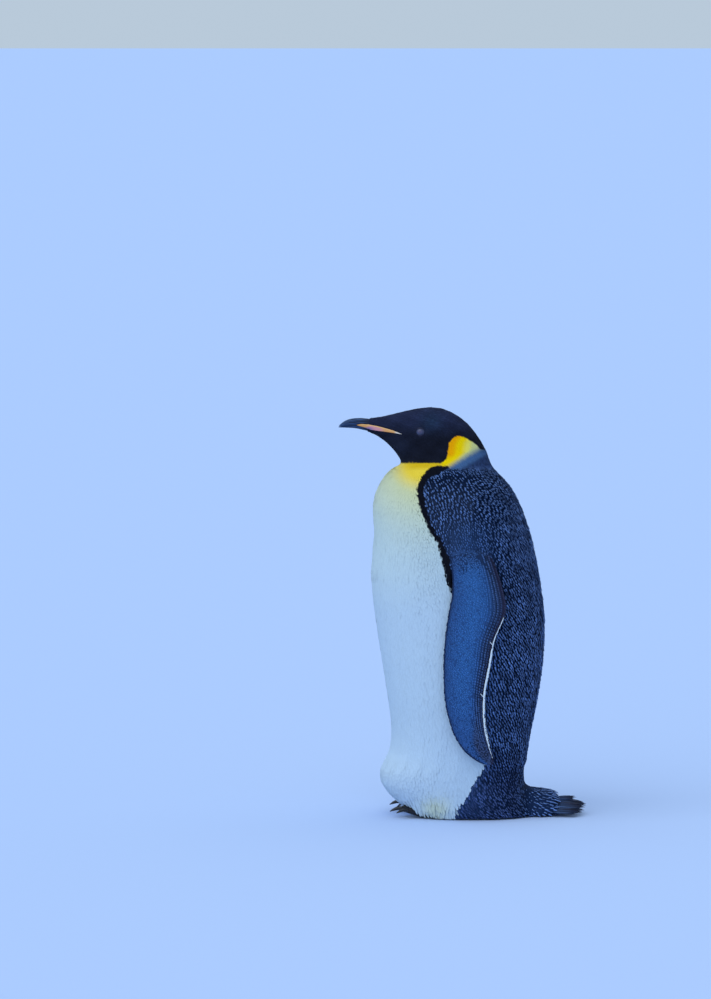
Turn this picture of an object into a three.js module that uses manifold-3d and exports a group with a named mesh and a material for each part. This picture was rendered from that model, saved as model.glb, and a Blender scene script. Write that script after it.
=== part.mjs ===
// A life-size emperor penguin at rest, standing on its heels with the tail as a prop and the belly fold
// over its feet. Millimetres, +Z up. The bird looks along -X, and its median plane is Y = 0, so its left
// side is the -Y side. The origin is on the floor, below the middle of the whole bird.
// The body is one loft from the tip of the bill to the floor, parted by thin cuts where its parts are named.
import * as THREE from 'three';
import { mergeVertices } from 'three/addons/utils/BufferGeometryUtils.js';
import Module from 'manifold-3d';

const wasm = await Module();
wasm.setup();

// ---------------------------------------------------------------- driving sizes
const GAP = 0.3; // between two pieces that meet
const SIDES = 24; // points round a ring of the body
const BODY_STEPS = 2; // rings to each stretch between two stations
const REACH = 2000; // larger than the bird, for half-spaces

const EYE = { x: -96, z: 869, radius: 11, sunk: 7.2 };
const FOOT = { y: 52, x: -52, ankleTop: 40, ankleX: 24, ankleY: 17, toeLift: 13 };
const ARCH = { half: 36, top: 34, y: 54, back: -34 }; // the opening under the belly fold for each foot
const TOES = [
  { name: 'inner', yaw: -15, length: 76, halfWidth: 8 },
  { name: 'middle', yaw: 1, length: 90, halfWidth: 8.6 },
  { name: 'outer', yaw: 17, length: 80, halfWidth: 8 },
];
const CLAW = { length: 27, radius: 4.6, drop: 7 };
const CLEARANCE = 3; // the belly's feathers end just over the floor; the soles and the tail carry the bird

// Stations of the body, from the tip of the bill to the floor. Each has the point on the front or under
// side and the point on the top or back, both as [x, z], then half the width across the bird, where along
// the line from front to back it is widest, and how square the section is (2 is an ellipse).
const BILL_STATIONS = [
  { at: 'bill_tip', front: [-281.2, 876.8], back: [-281, 877.6], half: 0.5, widest: 0.5, square: 2 },
  { at: 'hook', front: [-277.5, 876.3], back: [-278.4, 881.5], half: 2.6, widest: 0.45, square: 2 },
  { at: 'nail', front: [-270, 876.3], back: [-270.4, 888.8], half: 4.7, widest: 0.45, square: 2.1 },
  { at: 'culmen', front: [-258.8, 875.8], back: [-258.8, 894.6], half: 6.6, widest: 0.45, square: 2.2 },
  { at: 'mid_bill', front: [-245.3, 875], back: [-244.1, 897.6], half: 8.4, widest: 0.45, square: 2.2 },
  { at: 'nostril', front: [-231, 872.6], back: [-228.4, 898], half: 10.4, widest: 0.46, square: 2.2 },
];
const BODY_STATIONS = [
  { at: 'bill_base', front: [-218, 868.6], back: [-214, 897.4], half: 12.6, widest: 0.46, square: 2.2 },
  { at: 'lores', front: [-193.5, 856.5], back: [-184.5, 902], half: 19, widest: 0.47, square: 2.1 },
  { at: 'brow', front: [-170, 839], back: [-146, 911], half: 28.5, widest: 0.48, square: 2.1 },
  { at: 'forehead', front: [-151, 817], back: [-101, 920.6], half: 38.5, widest: 0.5, square: 2.1 },
  { at: 'crown', front: [-141, 801], back: [-52, 921.4], half: 46, widest: 0.5, square: 2.1 },
  { at: 'hindhead', front: [-139, 797], back: [-7, 901], half: 51, widest: 0.5, square: 2.1 },
  { at: 'ear', front: [-139.5, 795], back: [26, 868.5], half: 56, widest: 0.52, square: 2.1 },
  { at: 'nape', front: [-143, 793], back: [52, 827], half: 63, widest: 0.55, square: 2.1 },
  { at: 'neck', front: [-155, 788], back: [65, 792], half: 75, widest: 0.57, square: 2.1 },
  { at: 'mantle', front: [-173.5, 773], back: [90, 764], half: 92, widest: 0.57, square: 2.15 },
  { at: 'shoulder', front: [-191, 746], back: [113.5, 735], half: 111, widest: 0.56, square: 2.15 },
  { at: 'upper_chest', front: [-204, 706], back: [134, 694], half: 127, widest: 0.55, square: 2.15 },
  { at: 'chest', front: [-201, 640], back: [155, 630], half: 141, widest: 0.54, square: 2.15 },
  { at: 'breast', front: [-208, 551], back: [174, 540], half: 150, widest: 0.53, square: 2.15 },
  { at: 'waist', front: [-201, 466], back: [185, 457], half: 155, widest: 0.52, square: 2.15 },
  { at: 'belly', front: [-187, 371], back: [183.5, 371], half: 157, widest: 0.51, square: 2.15 },
  { at: 'lower_belly', front: [-171, 270], back: [171.5, 270], half: 153, widest: 0.5, square: 2.15 },
  { at: 'thigh', front: [-162.5, 189], back: [154, 189], half: 144, widest: 0.5, square: 2.2 },
  { at: 'fold_top', front: [-168, 144], back: [145, 135], half: 137, widest: 0.5, square: 2.25 },
  { at: 'fold', front: [-187, 104], back: [142, 92], half: 131, widest: 0.5, square: 2.3 },
  { at: 'fold_lip', front: [-186, 74], back: [147, 61], half: 126, widest: 0.51, square: 2.3 },
  { at: 'fold_under', front: [-163, 42], back: [157, 31], half: 119, widest: 0.52, square: 2.3 },
  { at: 'skirt', front: [-135, 17], back: [164, 13], half: 111, widest: 0.52, square: 2.3 },
  { at: 'underside', front: [-121, CLEARANCE], back: [167, CLEARANCE], half: 104, widest: 0.52, square: 2.3 },
];

// Stations of a flipper, from the shoulder to near the tip: the leading and the trailing edge as [x, z],
// the thickness, and how far the outer face stands off the trunk's side.
const FLIPPER_STATIONS = [
  { lead: [-44, 668], trail: [30, 676], thick: 30, proud: 3 },
  { lead: [-38, 616], trail: [54, 620], thick: 30, proud: 7 },
  { lead: [-29, 569], trail: [71, 575], thick: 27, proud: 11 },
  { lead: [-28, 519], trail: [86.5, 526], thick: 23, proud: 15 },
  { lead: [-37, 467], trail: [93.5, 477], thick: 18.5, proud: 18 },
  { lead: [-44.5, 411], trail: [69, 416], thick: 16, proud: 19.5 },
  { lead: [-47, 350], trail: [58.5, 362], thick: 14.5, proud: 20 },
  { lead: [-45, 290], trail: [46.5, 299], thick: 13, proud: 21 },
  { lead: [-37, 245], trail: [45, 249], thick: 11.5, proud: 22.5 },
  { lead: [-22.5, 201], trail: [49.5, 206], thick: 10, proud: 24 },
  { lead: [-1, 167], trail: [57.5, 172.5], thick: 8.5, proud: 25.5 },
  { lead: [24, 145.5], trail: [63.5, 150], thick: 7, proud: 27 },
  { lead: [40, 137], trail: [62, 140], thick: 5.5, proud: 28 },
];
const FLIPPER_STEPS = 1;
const FLIPPER_SIDES = 12;

// The mouth line, from the tip of the bill to the gape, as [x, z].
const MOUTH_LINE = [[-290, 878.6], [-262, 879.8], [-240, 883], [-228, 885.4], [-206, 883.6], [-184.5, 879],
  [-163, 873.6], [-148, 868.4], [-138.6, 864.6]];
// The lower edge of the pale plate on the side of the lower bill, from its front end to the gape.
const PLATE_FLOOR = [[-239.5, 882.2], [-219, 876.4], [-207.5, 872.2], [-191.7, 870], [-177.3, 868.6],
  [-163, 867], [-148.5, 865], [-138.6, 863.6]];
const PLATE = { proud: 0.5, thick: 2.2 };

const TAIL_STATIONS = [
  { x: 112, half: 46, top: 80, floor: 12 },
  { x: 138, half: 58, top: 73, floor: 1.5 },
  { x: 158, half: 61, top: 67.5, floor: 0 },
  { x: 184, half: 60, top: 64, floor: 0 },
  { x: 203, half: 55, top: 61, floor: 0.5 },
  { x: 213, half: 47, top: 56, floor: 4 },
];
// The tail's stiff feathers lie like the tiles of a roof, each one a step down from its neighbour.
const QUILLS = { eachSide: 4, root: 204, length: 77.9, width: 18, thick: 2, step: 11, stack: 1.1, ridge: 45.5,
  roof: 49, fan: 3.2, droop: 8 };

// ---------------------------------------------------------------- materials
const finish = (color, roughness) => new THREE.MeshStandardMaterial({ color, roughness, metalness: 0 });
const BLACK_PLUMAGE = finish(0x15171f, 0.8);
const NECK_PLUMAGE = finish(0xd9b53c, 0.8);
const BODY_PLUMAGE = finish(0xdde3e6, 0.8);
const BACK_PLUMAGE = finish(0x2c3b55, 0.75);
const FLIPPER_PLUMAGE = finish(0x33486b, 0.65);
const TAIL_QUILL = finish(0x14161c, 0.7);
const BILL_HORN = finish(0x1d222c, 0.4);
const BILL_PLATE = finish(0xd98a4e, 0.35);
const EYE_COVER = finish(0x5b5a74, 0.35);
const FOOT_SKIN = finish(0x1b1c20, 0.7);
const CLAW_HORN = finish(0x0d0e11, 0.4);

// ---------------------------------------------------------------- making solids
function solidOf(geometry) {
  const bare = geometry.clone();
  bare.deleteAttribute('normal');
  bare.deleteAttribute('uv');
  const merged = mergeVertices(bare, 1e-4);
  const mesh = new wasm.Mesh({
    numProp: 3,
    vertProperties: new Float32Array(merged.attributes.position.array),
    triVerts: new Uint32Array(merged.index.array),
  });
  return new wasm.Manifold(mesh);
}

// A closed solid through rings of points, its two ends shut by fans.
function loft(rings) {
  const count = rings[0].length;
  const points = rings.flat();
  const faces = [];
  for (let r = 0; r + 1 < rings.length; r += 1) {
    for (let i = 0; i < count; i += 1) {
      const a = r * count + i;
      const b = r * count + ((i + 1) % count);
      faces.push(a, b, b + count, a, b + count, a + count);
    }
  }
  const middle = (ring) => ring.reduce((sum, p) => sum.add(p), new THREE.Vector3()).divideScalar(count);
  const last = (rings.length - 1) * count;
  points.push(middle(rings[0]), middle(rings.at(-1)));
  for (let i = 0; i < count; i += 1) {
    const next = (i + 1) % count;
    faces.push(next, i, points.length - 2);
    faces.push(last + i, last + next, points.length - 1);
  }
  const make = (order) => {
    const geometry = new THREE.BufferGeometry().setFromPoints(points);
    geometry.setIndex(order);
    return solidOf(geometry);
  };
  const made = make(faces);
  return made.volume() > 0 ? made : make(faces.toReversed());
}

// A flat outline in the side view, given as [x, z] points, drawn out from one Y to another.
function sideCut(outline, fromY, toY) {
  const shape = new THREE.Shape(outline.map(([x, z]) => new THREE.Vector2(x, z)));
  const geometry = new THREE.ExtrudeGeometry(shape, { depth: toY - fromY, bevelEnabled: false });
  geometry.rotateX(Math.PI / 2);
  geometry.translate(0, toY, 0);
  return solidOf(geometry);
}

// Everything on the far side of a plane that stands across the bird, through a point, with its normal at
// an angle above +X in the side view.
function halfSpace([x, z], angle, offset = 0) {
  const geometry = new THREE.BoxGeometry(REACH, REACH, REACH);
  geometry.translate(REACH / 2 + offset, 0, 0);
  geometry.rotateY(-angle);
  geometry.translate(x, 0, z);
  return solidOf(geometry);
}

const joinAll = (solids) => solids.reduce((sum, s) => sum.add(s));

// Parts a solid by such a plane into the near and the far piece, with the gap between them.
function part(solid, point, angle) {
  return [
    solid.subtract(halfSpace(point, angle, -GAP / 2)),
    solid.intersect(halfSpace(point, angle, GAP / 2)),
  ];
}

const group = new THREE.Group();
group.name = 'emperor_penguin';

function add(name, solid, material) {
  const { numProp, numVert, triVerts, vertProperties } = solid.getMesh();
  const position = new Float32Array(numVert * 3);
  for (let i = 0; i < numVert; i += 1) {
    position.set(vertProperties.subarray(i * numProp, i * numProp + 3), i * 3);
  }
  const geometry = new THREE.BufferGeometry();
  geometry.setAttribute('position', new THREE.BufferAttribute(position, 3));
  geometry.setIndex(new THREE.BufferAttribute(triVerts, 1));
  const mesh = new THREE.Mesh(geometry, material);
  mesh.name = name;
  group.add(mesh);
}

// The same solid on the bird's left (-Y) and right (+Y). makeSide takes -1 or 1.
function onBothSides(name, makeSide, material) {
  add(`${name}_left`, makeSide(-1), material);
  add(`${name}_right`, makeSide(1), material);
}

// ---------------------------------------------------------------- the body's loft
const line = (points) => new THREE.CatmullRomCurve3(points, false, 'centripetal');

function bodyShape(stations, steps) {
  const front = line(stations.map((s) => new THREE.Vector3(s.front[0], 0, s.front[1])));
  const back = line(stations.map((s) => new THREE.Vector3(s.back[0], 0, s.back[1])));
  const girth = line(stations.map((s) => new THREE.Vector3(s.half, s.widest * 100, s.square * 10)));
  const count = (stations.length - 1) * steps;
  return { front, back, girth, count };
}

// One ring of the body. grow moves it outwards.
function bodyRing({ front, back, girth }, t, grow = 0) {
  const low = front.getPoint(t);
  const high = back.getPoint(t);
  const { x: half, y: widestPercent, z: squareTenths } = girth.getPoint(t);
  const along = high.clone().sub(low).normalize();
  low.addScaledVector(along, -grow);
  high.addScaledVector(along, grow);
  const widest = widestPercent / 100;
  const power = 20 / squareTenths;
  return Array.from({ length: SIDES }, (_, i) => {
    const angle = (2 * Math.PI * i) / SIDES;
    const c = Math.cos(angle);
    const s = Math.sin(angle);
    const across = Math.sign(s) * Math.abs(s) ** power * (half + grow);
    const reach = Math.abs(c) ** power;
    const place = c > 0 ? widest * (1 - reach) : widest + (1 - widest) * reach;
    return low.clone().lerp(high, place).setY(across);
  });
}

function rings(shape, grow = 0) {
  return Array.from({ length: shape.count + 1 }, (_, i) => bodyRing(shape, i / shape.count, grow));
}

// The bill and the body share their spline, so that the forehead runs into the culmen.
const WHOLE = bodyShape([...BILL_STATIONS, ...BODY_STATIONS], BODY_STEPS);
const whole = loft(rings(WHOLE));

// Half the bird's width at a place in the side view: finds the ring whose plane passes through it.
function halfWidthAt(x, z) {
  const { front, back, girth } = WHOLE;
  const beside = (t) => {
    const low = front.getPoint(t);
    const high = back.getPoint(t);
    return (high.x - low.x) * (z - low.z) - (high.z - low.z) * (x - low.x);
  };
  let [from, to] = [0.25, 1];
  const sign = Math.sign(beside(from));
  for (let i = 0; i < 40; i += 1) {
    const middle = (from + to) / 2;
    if (Math.sign(beside(middle)) === sign) from = middle;
    else to = middle;
  }
  const [low, high, build] = [front, back, girth].map((curve) => curve.getPoint(from));
  const widest = build.y / 100;
  const power = 20 / build.z;
  const share = Math.hypot(x - low.x, z - low.z) / Math.hypot(high.x - low.x, high.z - low.z);
  const reach = share < widest ? 1 - share / widest : (share - widest) / (1 - widest);
  return build.x * Math.max(0, 1 - Math.min(1, reach) ** (2 / power)) ** (power / 2);
}

const station = (name) => BODY_STATIONS.find((s) => s.at === name);
const facing = ({ front, back }) => Math.atan2(back[1] - front[1], back[0] - front[0]) - Math.PI / 2;

// ---------------------------------------------------------------- flippers
const FLIPPER_LEAD = line(FLIPPER_STATIONS.map((s) => new THREE.Vector3(s.lead[0], 0, s.lead[1])));
const FLIPPER_TRAIL = line(FLIPPER_STATIONS.map((s) => new THREE.Vector3(s.trail[0], 0, s.trail[1])));
const FLIPPER_BUILD = line(FLIPPER_STATIONS.map((s) => new THREE.Vector3(s.thick, s.proud, 0)));

// A flipper's section is blunt in front, thickest at a third of its chord and thin behind.
function sectionThickness(chord) {
  const blunt = Math.sqrt(chord) * (1 - chord) ** 0.75;
  const peak = Math.sqrt(0.4) * 0.6 ** 0.75;
  return 0.12 + (0.88 * blunt) / peak;
}

function flipper(side, grow = 0) {
  const count = (FLIPPER_STATIONS.length - 1) * FLIPPER_STEPS;
  const made = [];
  for (let r = 0; r <= count; r += 1) {
    const t = r / count;
    const lead = FLIPPER_LEAD.getPoint(t);
    const trail = FLIPPER_TRAIL.getPoint(t);
    const { x: thick, y: proud } = FLIPPER_BUILD.getPoint(t);
    const chordWay = trail.clone().sub(lead).normalize();
    lead.addScaledVector(chordWay, -grow);
    trail.addScaledVector(chordWay, grow);
    const ring = [];
    for (let i = 0; i < FLIPPER_SIDES; i += 1) {
      const angle = (2 * Math.PI * i) / FLIPPER_SIDES;
      const chord = (1 - Math.cos(angle)) / 2;
      const p = lead.clone().lerp(trail, chord);
      const half = (thick / 2) * sectionThickness(chord) + grow;
      const middle = halfWidthAt(p.x, p.z) + proud - thick / 2;
      p.y = side * (middle + (i * 2 <= FLIPPER_SIDES ? half : -half));
      if (i === 0 || i * 2 === FLIPPER_SIDES) p.y = side * middle;
      ring.push(p);
    }
    made.push(ring);
  }
  return loft(made);
}

// ---------------------------------------------------------------- feet
// A capsule-like limb through points, each with its half width and half height.
function limb(points, grow = 0, around = 8) {
  const path = line(points.map((p) => new THREE.Vector3(...p.at)));
  const build = line(points.map((p) => new THREE.Vector3(p.half, p.tall, 0)));
  const count = points.length - 1;
  const made = [];
  for (let r = 0; r <= count; r += 1) {
    const t = r / count;
    const centre = path.getPoint(t);
    const ahead = path.getTangent(t);
    if (r === 0) centre.addScaledVector(ahead, -grow);
    if (r === count) centre.addScaledVector(ahead, grow);
    const sideways = new THREE.Vector3(0, 0, 1).cross(ahead).normalize();
    const up = ahead.clone().cross(sideways);
    const { x: half, y: tall } = build.getPoint(t);
    made.push(Array.from({ length: around }, (_, i) => {
      const angle = (2 * Math.PI * i) / around;
      return centre.clone()
        .addScaledVector(sideways, Math.cos(angle) * (half + grow))
        .addScaledVector(up, Math.sin(angle) * (tall + grow));
    }));
  }
  return loft(made);
}

// The place reached after going a length along a toe, at a height above the floor.
function alongToe(side, { yaw }, length, height) {
  const angle = THREE.MathUtils.degToRad(yaw);
  return [FOOT.x - Math.cos(angle) * length, side * (FOOT.y + Math.sin(angle) * length), height];
}

// Three fleshy toes with pads, the web between them and the ankle, flat below where they stand.
function foot(side) {
  const toes = TOES.map((toe) => {
    const { length, halfWidth: w } = toe;
    const lift = FOOT.toeLift;
    return limb([
      { at: alongToe(side, toe, -14, 12), half: w, tall: 12 },
      { at: alongToe(side, toe, length * 0.3, 10.5), half: w + 1.5, tall: 12 },
      { at: alongToe(side, toe, length * 0.56, 8.4 + lift * 0.3), half: w - 0.8, tall: 8.6 },
      { at: alongToe(side, toe, length * 0.78, 8.4 + lift * 0.7), half: w + 0.2, tall: 8.4 },
      { at: alongToe(side, toe, length, 7.6 + lift), half: w - 4, tall: 4.4 },
    ]);
  });
  const corners = TOES.map((toe) => alongToe(side, toe, toe.length * 0.62, 0));
  const edge = [[FOOT.x + 10, side * FOOT.y], ...corners];
  const shape = new THREE.Shape(edge.map(([x, y]) => new THREE.Vector2(x, y)));
  const web = new THREE.ExtrudeGeometry(shape, { depth: 5, bevelEnabled: false });
  web.translate(0, 0, 3.5);
  return joinAll([ankle(side), solidOf(web), ...toes]).subtract(halfSpace([0, 0], -Math.PI / 2));
}

function ankle(side, grow = 0) {
  const shank = new THREE.CylinderGeometry(1, 1.12, FOOT.ankleTop + grow, 14);
  shank.rotateX(Math.PI / 2);
  shank.scale(FOOT.ankleX + grow, FOOT.ankleY + grow, 1);
  shank.translate(FOOT.x + 6, side * FOOT.y, (FOOT.ankleTop + grow) / 2);
  return solidOf(shank);
}

// The arched opening under the belly fold in which a foot lies.
function arch(side) {
  return loft([-REACH / 4, ARCH.back].map((x) => Array.from({ length: 16 }, (_, i) => {
    const angle = (2 * Math.PI * i) / 16;
    const z = Math.sin(angle) > 0 ? ARCH.top * Math.sin(angle) ** 0.8 : 20 * Math.sin(angle);
    return new THREE.Vector3(x, side * ARCH.y + ARCH.half * Math.cos(angle), z);
  })));
}

// A claw curves forward and down from the end of its toe.
function claw(side, toe, grow = 0) {
  const { length: reach, radius, drop } = CLAW;
  const high = 7.6 + FOOT.toeLift;
  return limb([
    { at: alongToe(side, toe, toe.length - 5, high), half: radius, tall: radius + 0.6 },
    { at: alongToe(side, toe, toe.length + reach * 0.2, high + 0.5), half: radius * 0.86, tall: radius },
    { at: alongToe(side, toe, toe.length + reach * 0.55, high - drop * 0.4), half: radius * 0.55, tall: 3.2 },
    { at: alongToe(side, toe, toe.length + reach * 0.85, high - drop), half: 0.8, tall: 1 },
  ], grow);
}

// ---------------------------------------------------------------- tail
function tailCoverts(grow = 0) {
  return loft(TAIL_STATIONS.map(({ x, half, top, floor }, n) => {
    const end = n === 0 ? -grow : n === TAIL_STATIONS.length - 1 ? grow : 0;
    return Array.from({ length: 16 }, (_, i) => {
      const angle = (2 * Math.PI * i) / 16;
      const wide = Math.sign(Math.cos(angle)) * Math.abs(Math.cos(angle)) ** 0.8;
      const high = Math.max(0, Math.sin(angle)) ** 1.15;
      return new THREE.Vector3(x + end, wide * (half + grow), floor - grow + (top - floor + 2 * grow) * high);
    });
  }));
}

// One stiff tail feather, numbered from the middle one outwards, negative on the bird's left.
function quill(place) {
  const { eachSide, root, length, width, thick, step, stack, ridge, roof, fan, droop } = QUILLS;
  const out = Math.abs(place);
  const share = out / eachSide;
  const long = length * (1 - 0.14 * share ** 2);
  const half = width / 2;
  const outline = [[0, -half], [long * 0.8, -half], [long * 0.94, -half * 0.66], [long, -half * 0.16],
    [long, half * 0.16], [long * 0.94, half * 0.66], [long * 0.8, half], [0, half]];
  const shape = new THREE.Shape(outline.map(([x, y]) => new THREE.Vector2(x, y)));
  const blade = new THREE.ExtrudeGeometry(shape, { depth: thick, bevelEnabled: false });
  const slope = THREE.MathUtils.degToRad(roof);
  blade.translate(0, 0, -thick / 2);
  blade.rotateX(-Math.sign(place) * slope * (1 - 0.35 * share));
  blade.rotateY(THREE.MathUtils.degToRad(droop * (1 - 0.9 * share)));
  blade.rotateZ(THREE.MathUtils.degToRad(fan * place));
  blade.translate(root, place * step * Math.cos(slope), ridge - out * (step * Math.sin(slope) + stack));
  return solidOf(blade);
}

function tailQuills() {
  const { eachSide } = QUILLS;
  const places = Array.from({ length: 2 * eachSide + 1 }, (_, i) => i - eachSide);
  const behind = halfSpace([TAIL_STATIONS.at(-1).x + GAP, 0], 0);
  return joinAll(places.map(quill)).intersect(behind).subtract(halfSpace([0, 0], -Math.PI / 2));
}

// ---------------------------------------------------------------- bill and mouth
// Everything below the mouth line, shifted up or down.
function belowMouth(shift) {
  const curve = line(MOUTH_LINE.map(([x, z]) => new THREE.Vector3(x, 0, z + shift)));
  const top = curve.getPoints(12).map((p) => [p.x, p.z]);
  return sideCut([...top, [top.at(-1)[0], 700], [top[0][0], 700]], -100, 100);
}

// The plate's outline in the side view. grow widens it.
function plateOutline(grow) {
  const lip = MOUTH_LINE.filter(([x]) => x > -241);
  const top = line(lip.map(([x, z]) => new THREE.Vector3(x, 0, z + grow - GAP / 2)));
  const under = line(PLATE_FLOOR.map(([x, z]) => new THREE.Vector3(x, 0, z - grow)));
  const above = top.getPoints(7).map((p) => [p.x, p.z]);
  const below = under.getPoints(7).map((p) => [p.x, p.z]).reverse();
  above[0][0] -= grow;
  below.at(-1)[0] -= grow;
  above.at(-1)[0] += grow;
  below[0][0] += grow;
  return [...above, ...below];
}

function plate(side, grow = 0) {
  const band = sideCut(plateOutline(grow), side < 0 ? -80 : 1, side < 0 ? -1 : 80);
  const outer = loft(rings(WHOLE, PLATE.proud + (grow ? 5 : 0)));
  const inner = loft(rings(WHOLE, PLATE.proud - PLATE.thick - grow));
  return band.intersect(outer).subtract(inner);
}

// ---------------------------------------------------------------- eyes
function eye(side, grow = 0) {
  const ball = new THREE.SphereGeometry(EYE.radius + grow, 12, 8);
  ball.translate(EYE.x, side * (halfWidthAt(EYE.x, EYE.z) - EYE.sunk), EYE.z);
  return solidOf(ball);
}

// ---------------------------------------------------------------- putting it together
const sides = [-1, 1];

const plateRoom = joinAll(sides.map((side) => plate(side, GAP)));
const [billWhole, behindBill] = part(whole, [-216, 883], facing(station('bill_base')));
add('bill_upper', billWhole.subtract(belowMouth(GAP / 2)), BILL_HORN);
add('bill_lower', billWhole.intersect(belowMouth(-GAP / 2)).subtract(plateRoom), BILL_HORN);
onBothSides('bill_plate', (side) => plate(side), BILL_PLATE);

const [headWhole, behindHead] = part(behindBill, station('nape').back, facing(station('nape')));
const eyeRoom = joinAll(sides.map((side) => eye(side, GAP)));
add('head', headWhole.subtract(eyeRoom).subtract(plateRoom), BLACK_PLUMAGE);
onBothSides('eye', (side) => eye(side), EYE_COVER);

const [neck, behindNeck] = part(behindHead, station('mantle').back, facing(station('mantle')));
add('neck', neck, NECK_PLUMAGE);

const flipperRoom = joinAll(sides.map((side) => flipper(side, GAP)));
const footRoom = joinAll(sides.flatMap((side) => [arch(side), ankle(side, GAP)]));
const clawRoom = joinAll(sides.flatMap((side) => TOES.map((toe) => claw(side, toe, GAP))));
const body = behindNeck.subtract(flipperRoom);

// The trunk above the level of the thighs, and the belly fold, the two feathered legs and the rump below.
const [trunk, low] = part(body, [0, 150], -Math.PI / 2);
add('trunk', trunk, BODY_PLUMAGE);
onBothSides('flipper', (side) => flipper(side), FLIPPER_PLUMAGE);

const lowCut = low.subtract(footRoom).subtract(tailCoverts(GAP));
const [fold, behindFold] = part(lowCut, [-78, 60], 0);
const [legs, rump] = part(behindFold, [78, 60], 0);
add('belly_fold', fold, BODY_PLUMAGE);
const rightHalf = solidOf(new THREE.BoxGeometry(REACH, REACH, REACH).translate(0, REACH / 2 + GAP / 2, 0));
const leftHalf = solidOf(new THREE.BoxGeometry(REACH, REACH, REACH).translate(0, -REACH / 2 - GAP / 2, 0));
add('leg_left', legs.intersect(leftHalf), BODY_PLUMAGE);
add('leg_right', legs.intersect(rightHalf), BODY_PLUMAGE);
add('rump', rump, BACK_PLUMAGE);

onBothSides('foot', (side) => foot(side).subtract(clawRoom), FOOT_SKIN);
for (const toe of TOES) onBothSides(`claw_${toe.name}`, (side) => claw(side, toe), CLAW_HORN);
add('tail_coverts', tailCoverts(), BACK_PLUMAGE);
add('tail_feathers', tailQuills(), TAIL_QUILL);

export default group;
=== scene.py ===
import math

import bmesh
import bpy
import numpy as np
from mathutils import Matrix, Vector
from mathutils.bvhtree import BVHTree


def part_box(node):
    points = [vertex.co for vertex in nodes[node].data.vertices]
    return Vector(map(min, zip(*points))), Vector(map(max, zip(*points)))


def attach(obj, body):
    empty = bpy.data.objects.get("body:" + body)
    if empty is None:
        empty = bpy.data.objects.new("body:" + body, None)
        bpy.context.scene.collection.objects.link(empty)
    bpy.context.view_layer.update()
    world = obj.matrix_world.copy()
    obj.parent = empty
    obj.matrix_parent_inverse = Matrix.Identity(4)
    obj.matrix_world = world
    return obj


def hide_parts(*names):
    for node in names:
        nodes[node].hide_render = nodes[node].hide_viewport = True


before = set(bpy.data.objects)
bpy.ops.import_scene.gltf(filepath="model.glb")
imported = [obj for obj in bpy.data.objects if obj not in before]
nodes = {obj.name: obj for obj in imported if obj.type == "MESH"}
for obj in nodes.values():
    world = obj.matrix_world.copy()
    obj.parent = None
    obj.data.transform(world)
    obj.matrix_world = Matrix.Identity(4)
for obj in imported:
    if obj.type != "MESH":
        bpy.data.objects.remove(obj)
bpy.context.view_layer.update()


# ---- Camera: a long lens from the bird's left, a little above the level of its belly. The picture is
# taller than wide, so the height is what the lens is set by.
VIEW_HEIGHT = 2.248
VIEW_CENTRE = Vector((-0.242, 0.0, 0.714))
VIEW_DISTANCE = 12.0
VIEW_ELEVATION = math.radians(5)
SENSOR = 36.0

camera_data = bpy.data.cameras.new("camera")
camera_data.sensor_fit = "VERTICAL"
camera_data.sensor_height = SENSOR
camera_data.lens = SENSOR * VIEW_DISTANCE / VIEW_HEIGHT
camera_data.clip_end = 2000.0
camera = bpy.data.objects.new("camera", camera_data)
bpy.context.scene.collection.objects.link(camera)
back_off = Vector((0.0, -math.cos(VIEW_ELEVATION), math.sin(VIEW_ELEVATION))) * VIEW_DISTANCE
camera.location = VIEW_CENTRE + back_off
camera.rotation_euler = (math.radians(90) - VIEW_ELEVATION, 0.0, 0.0)
bpy.context.scene.camera = camera


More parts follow.
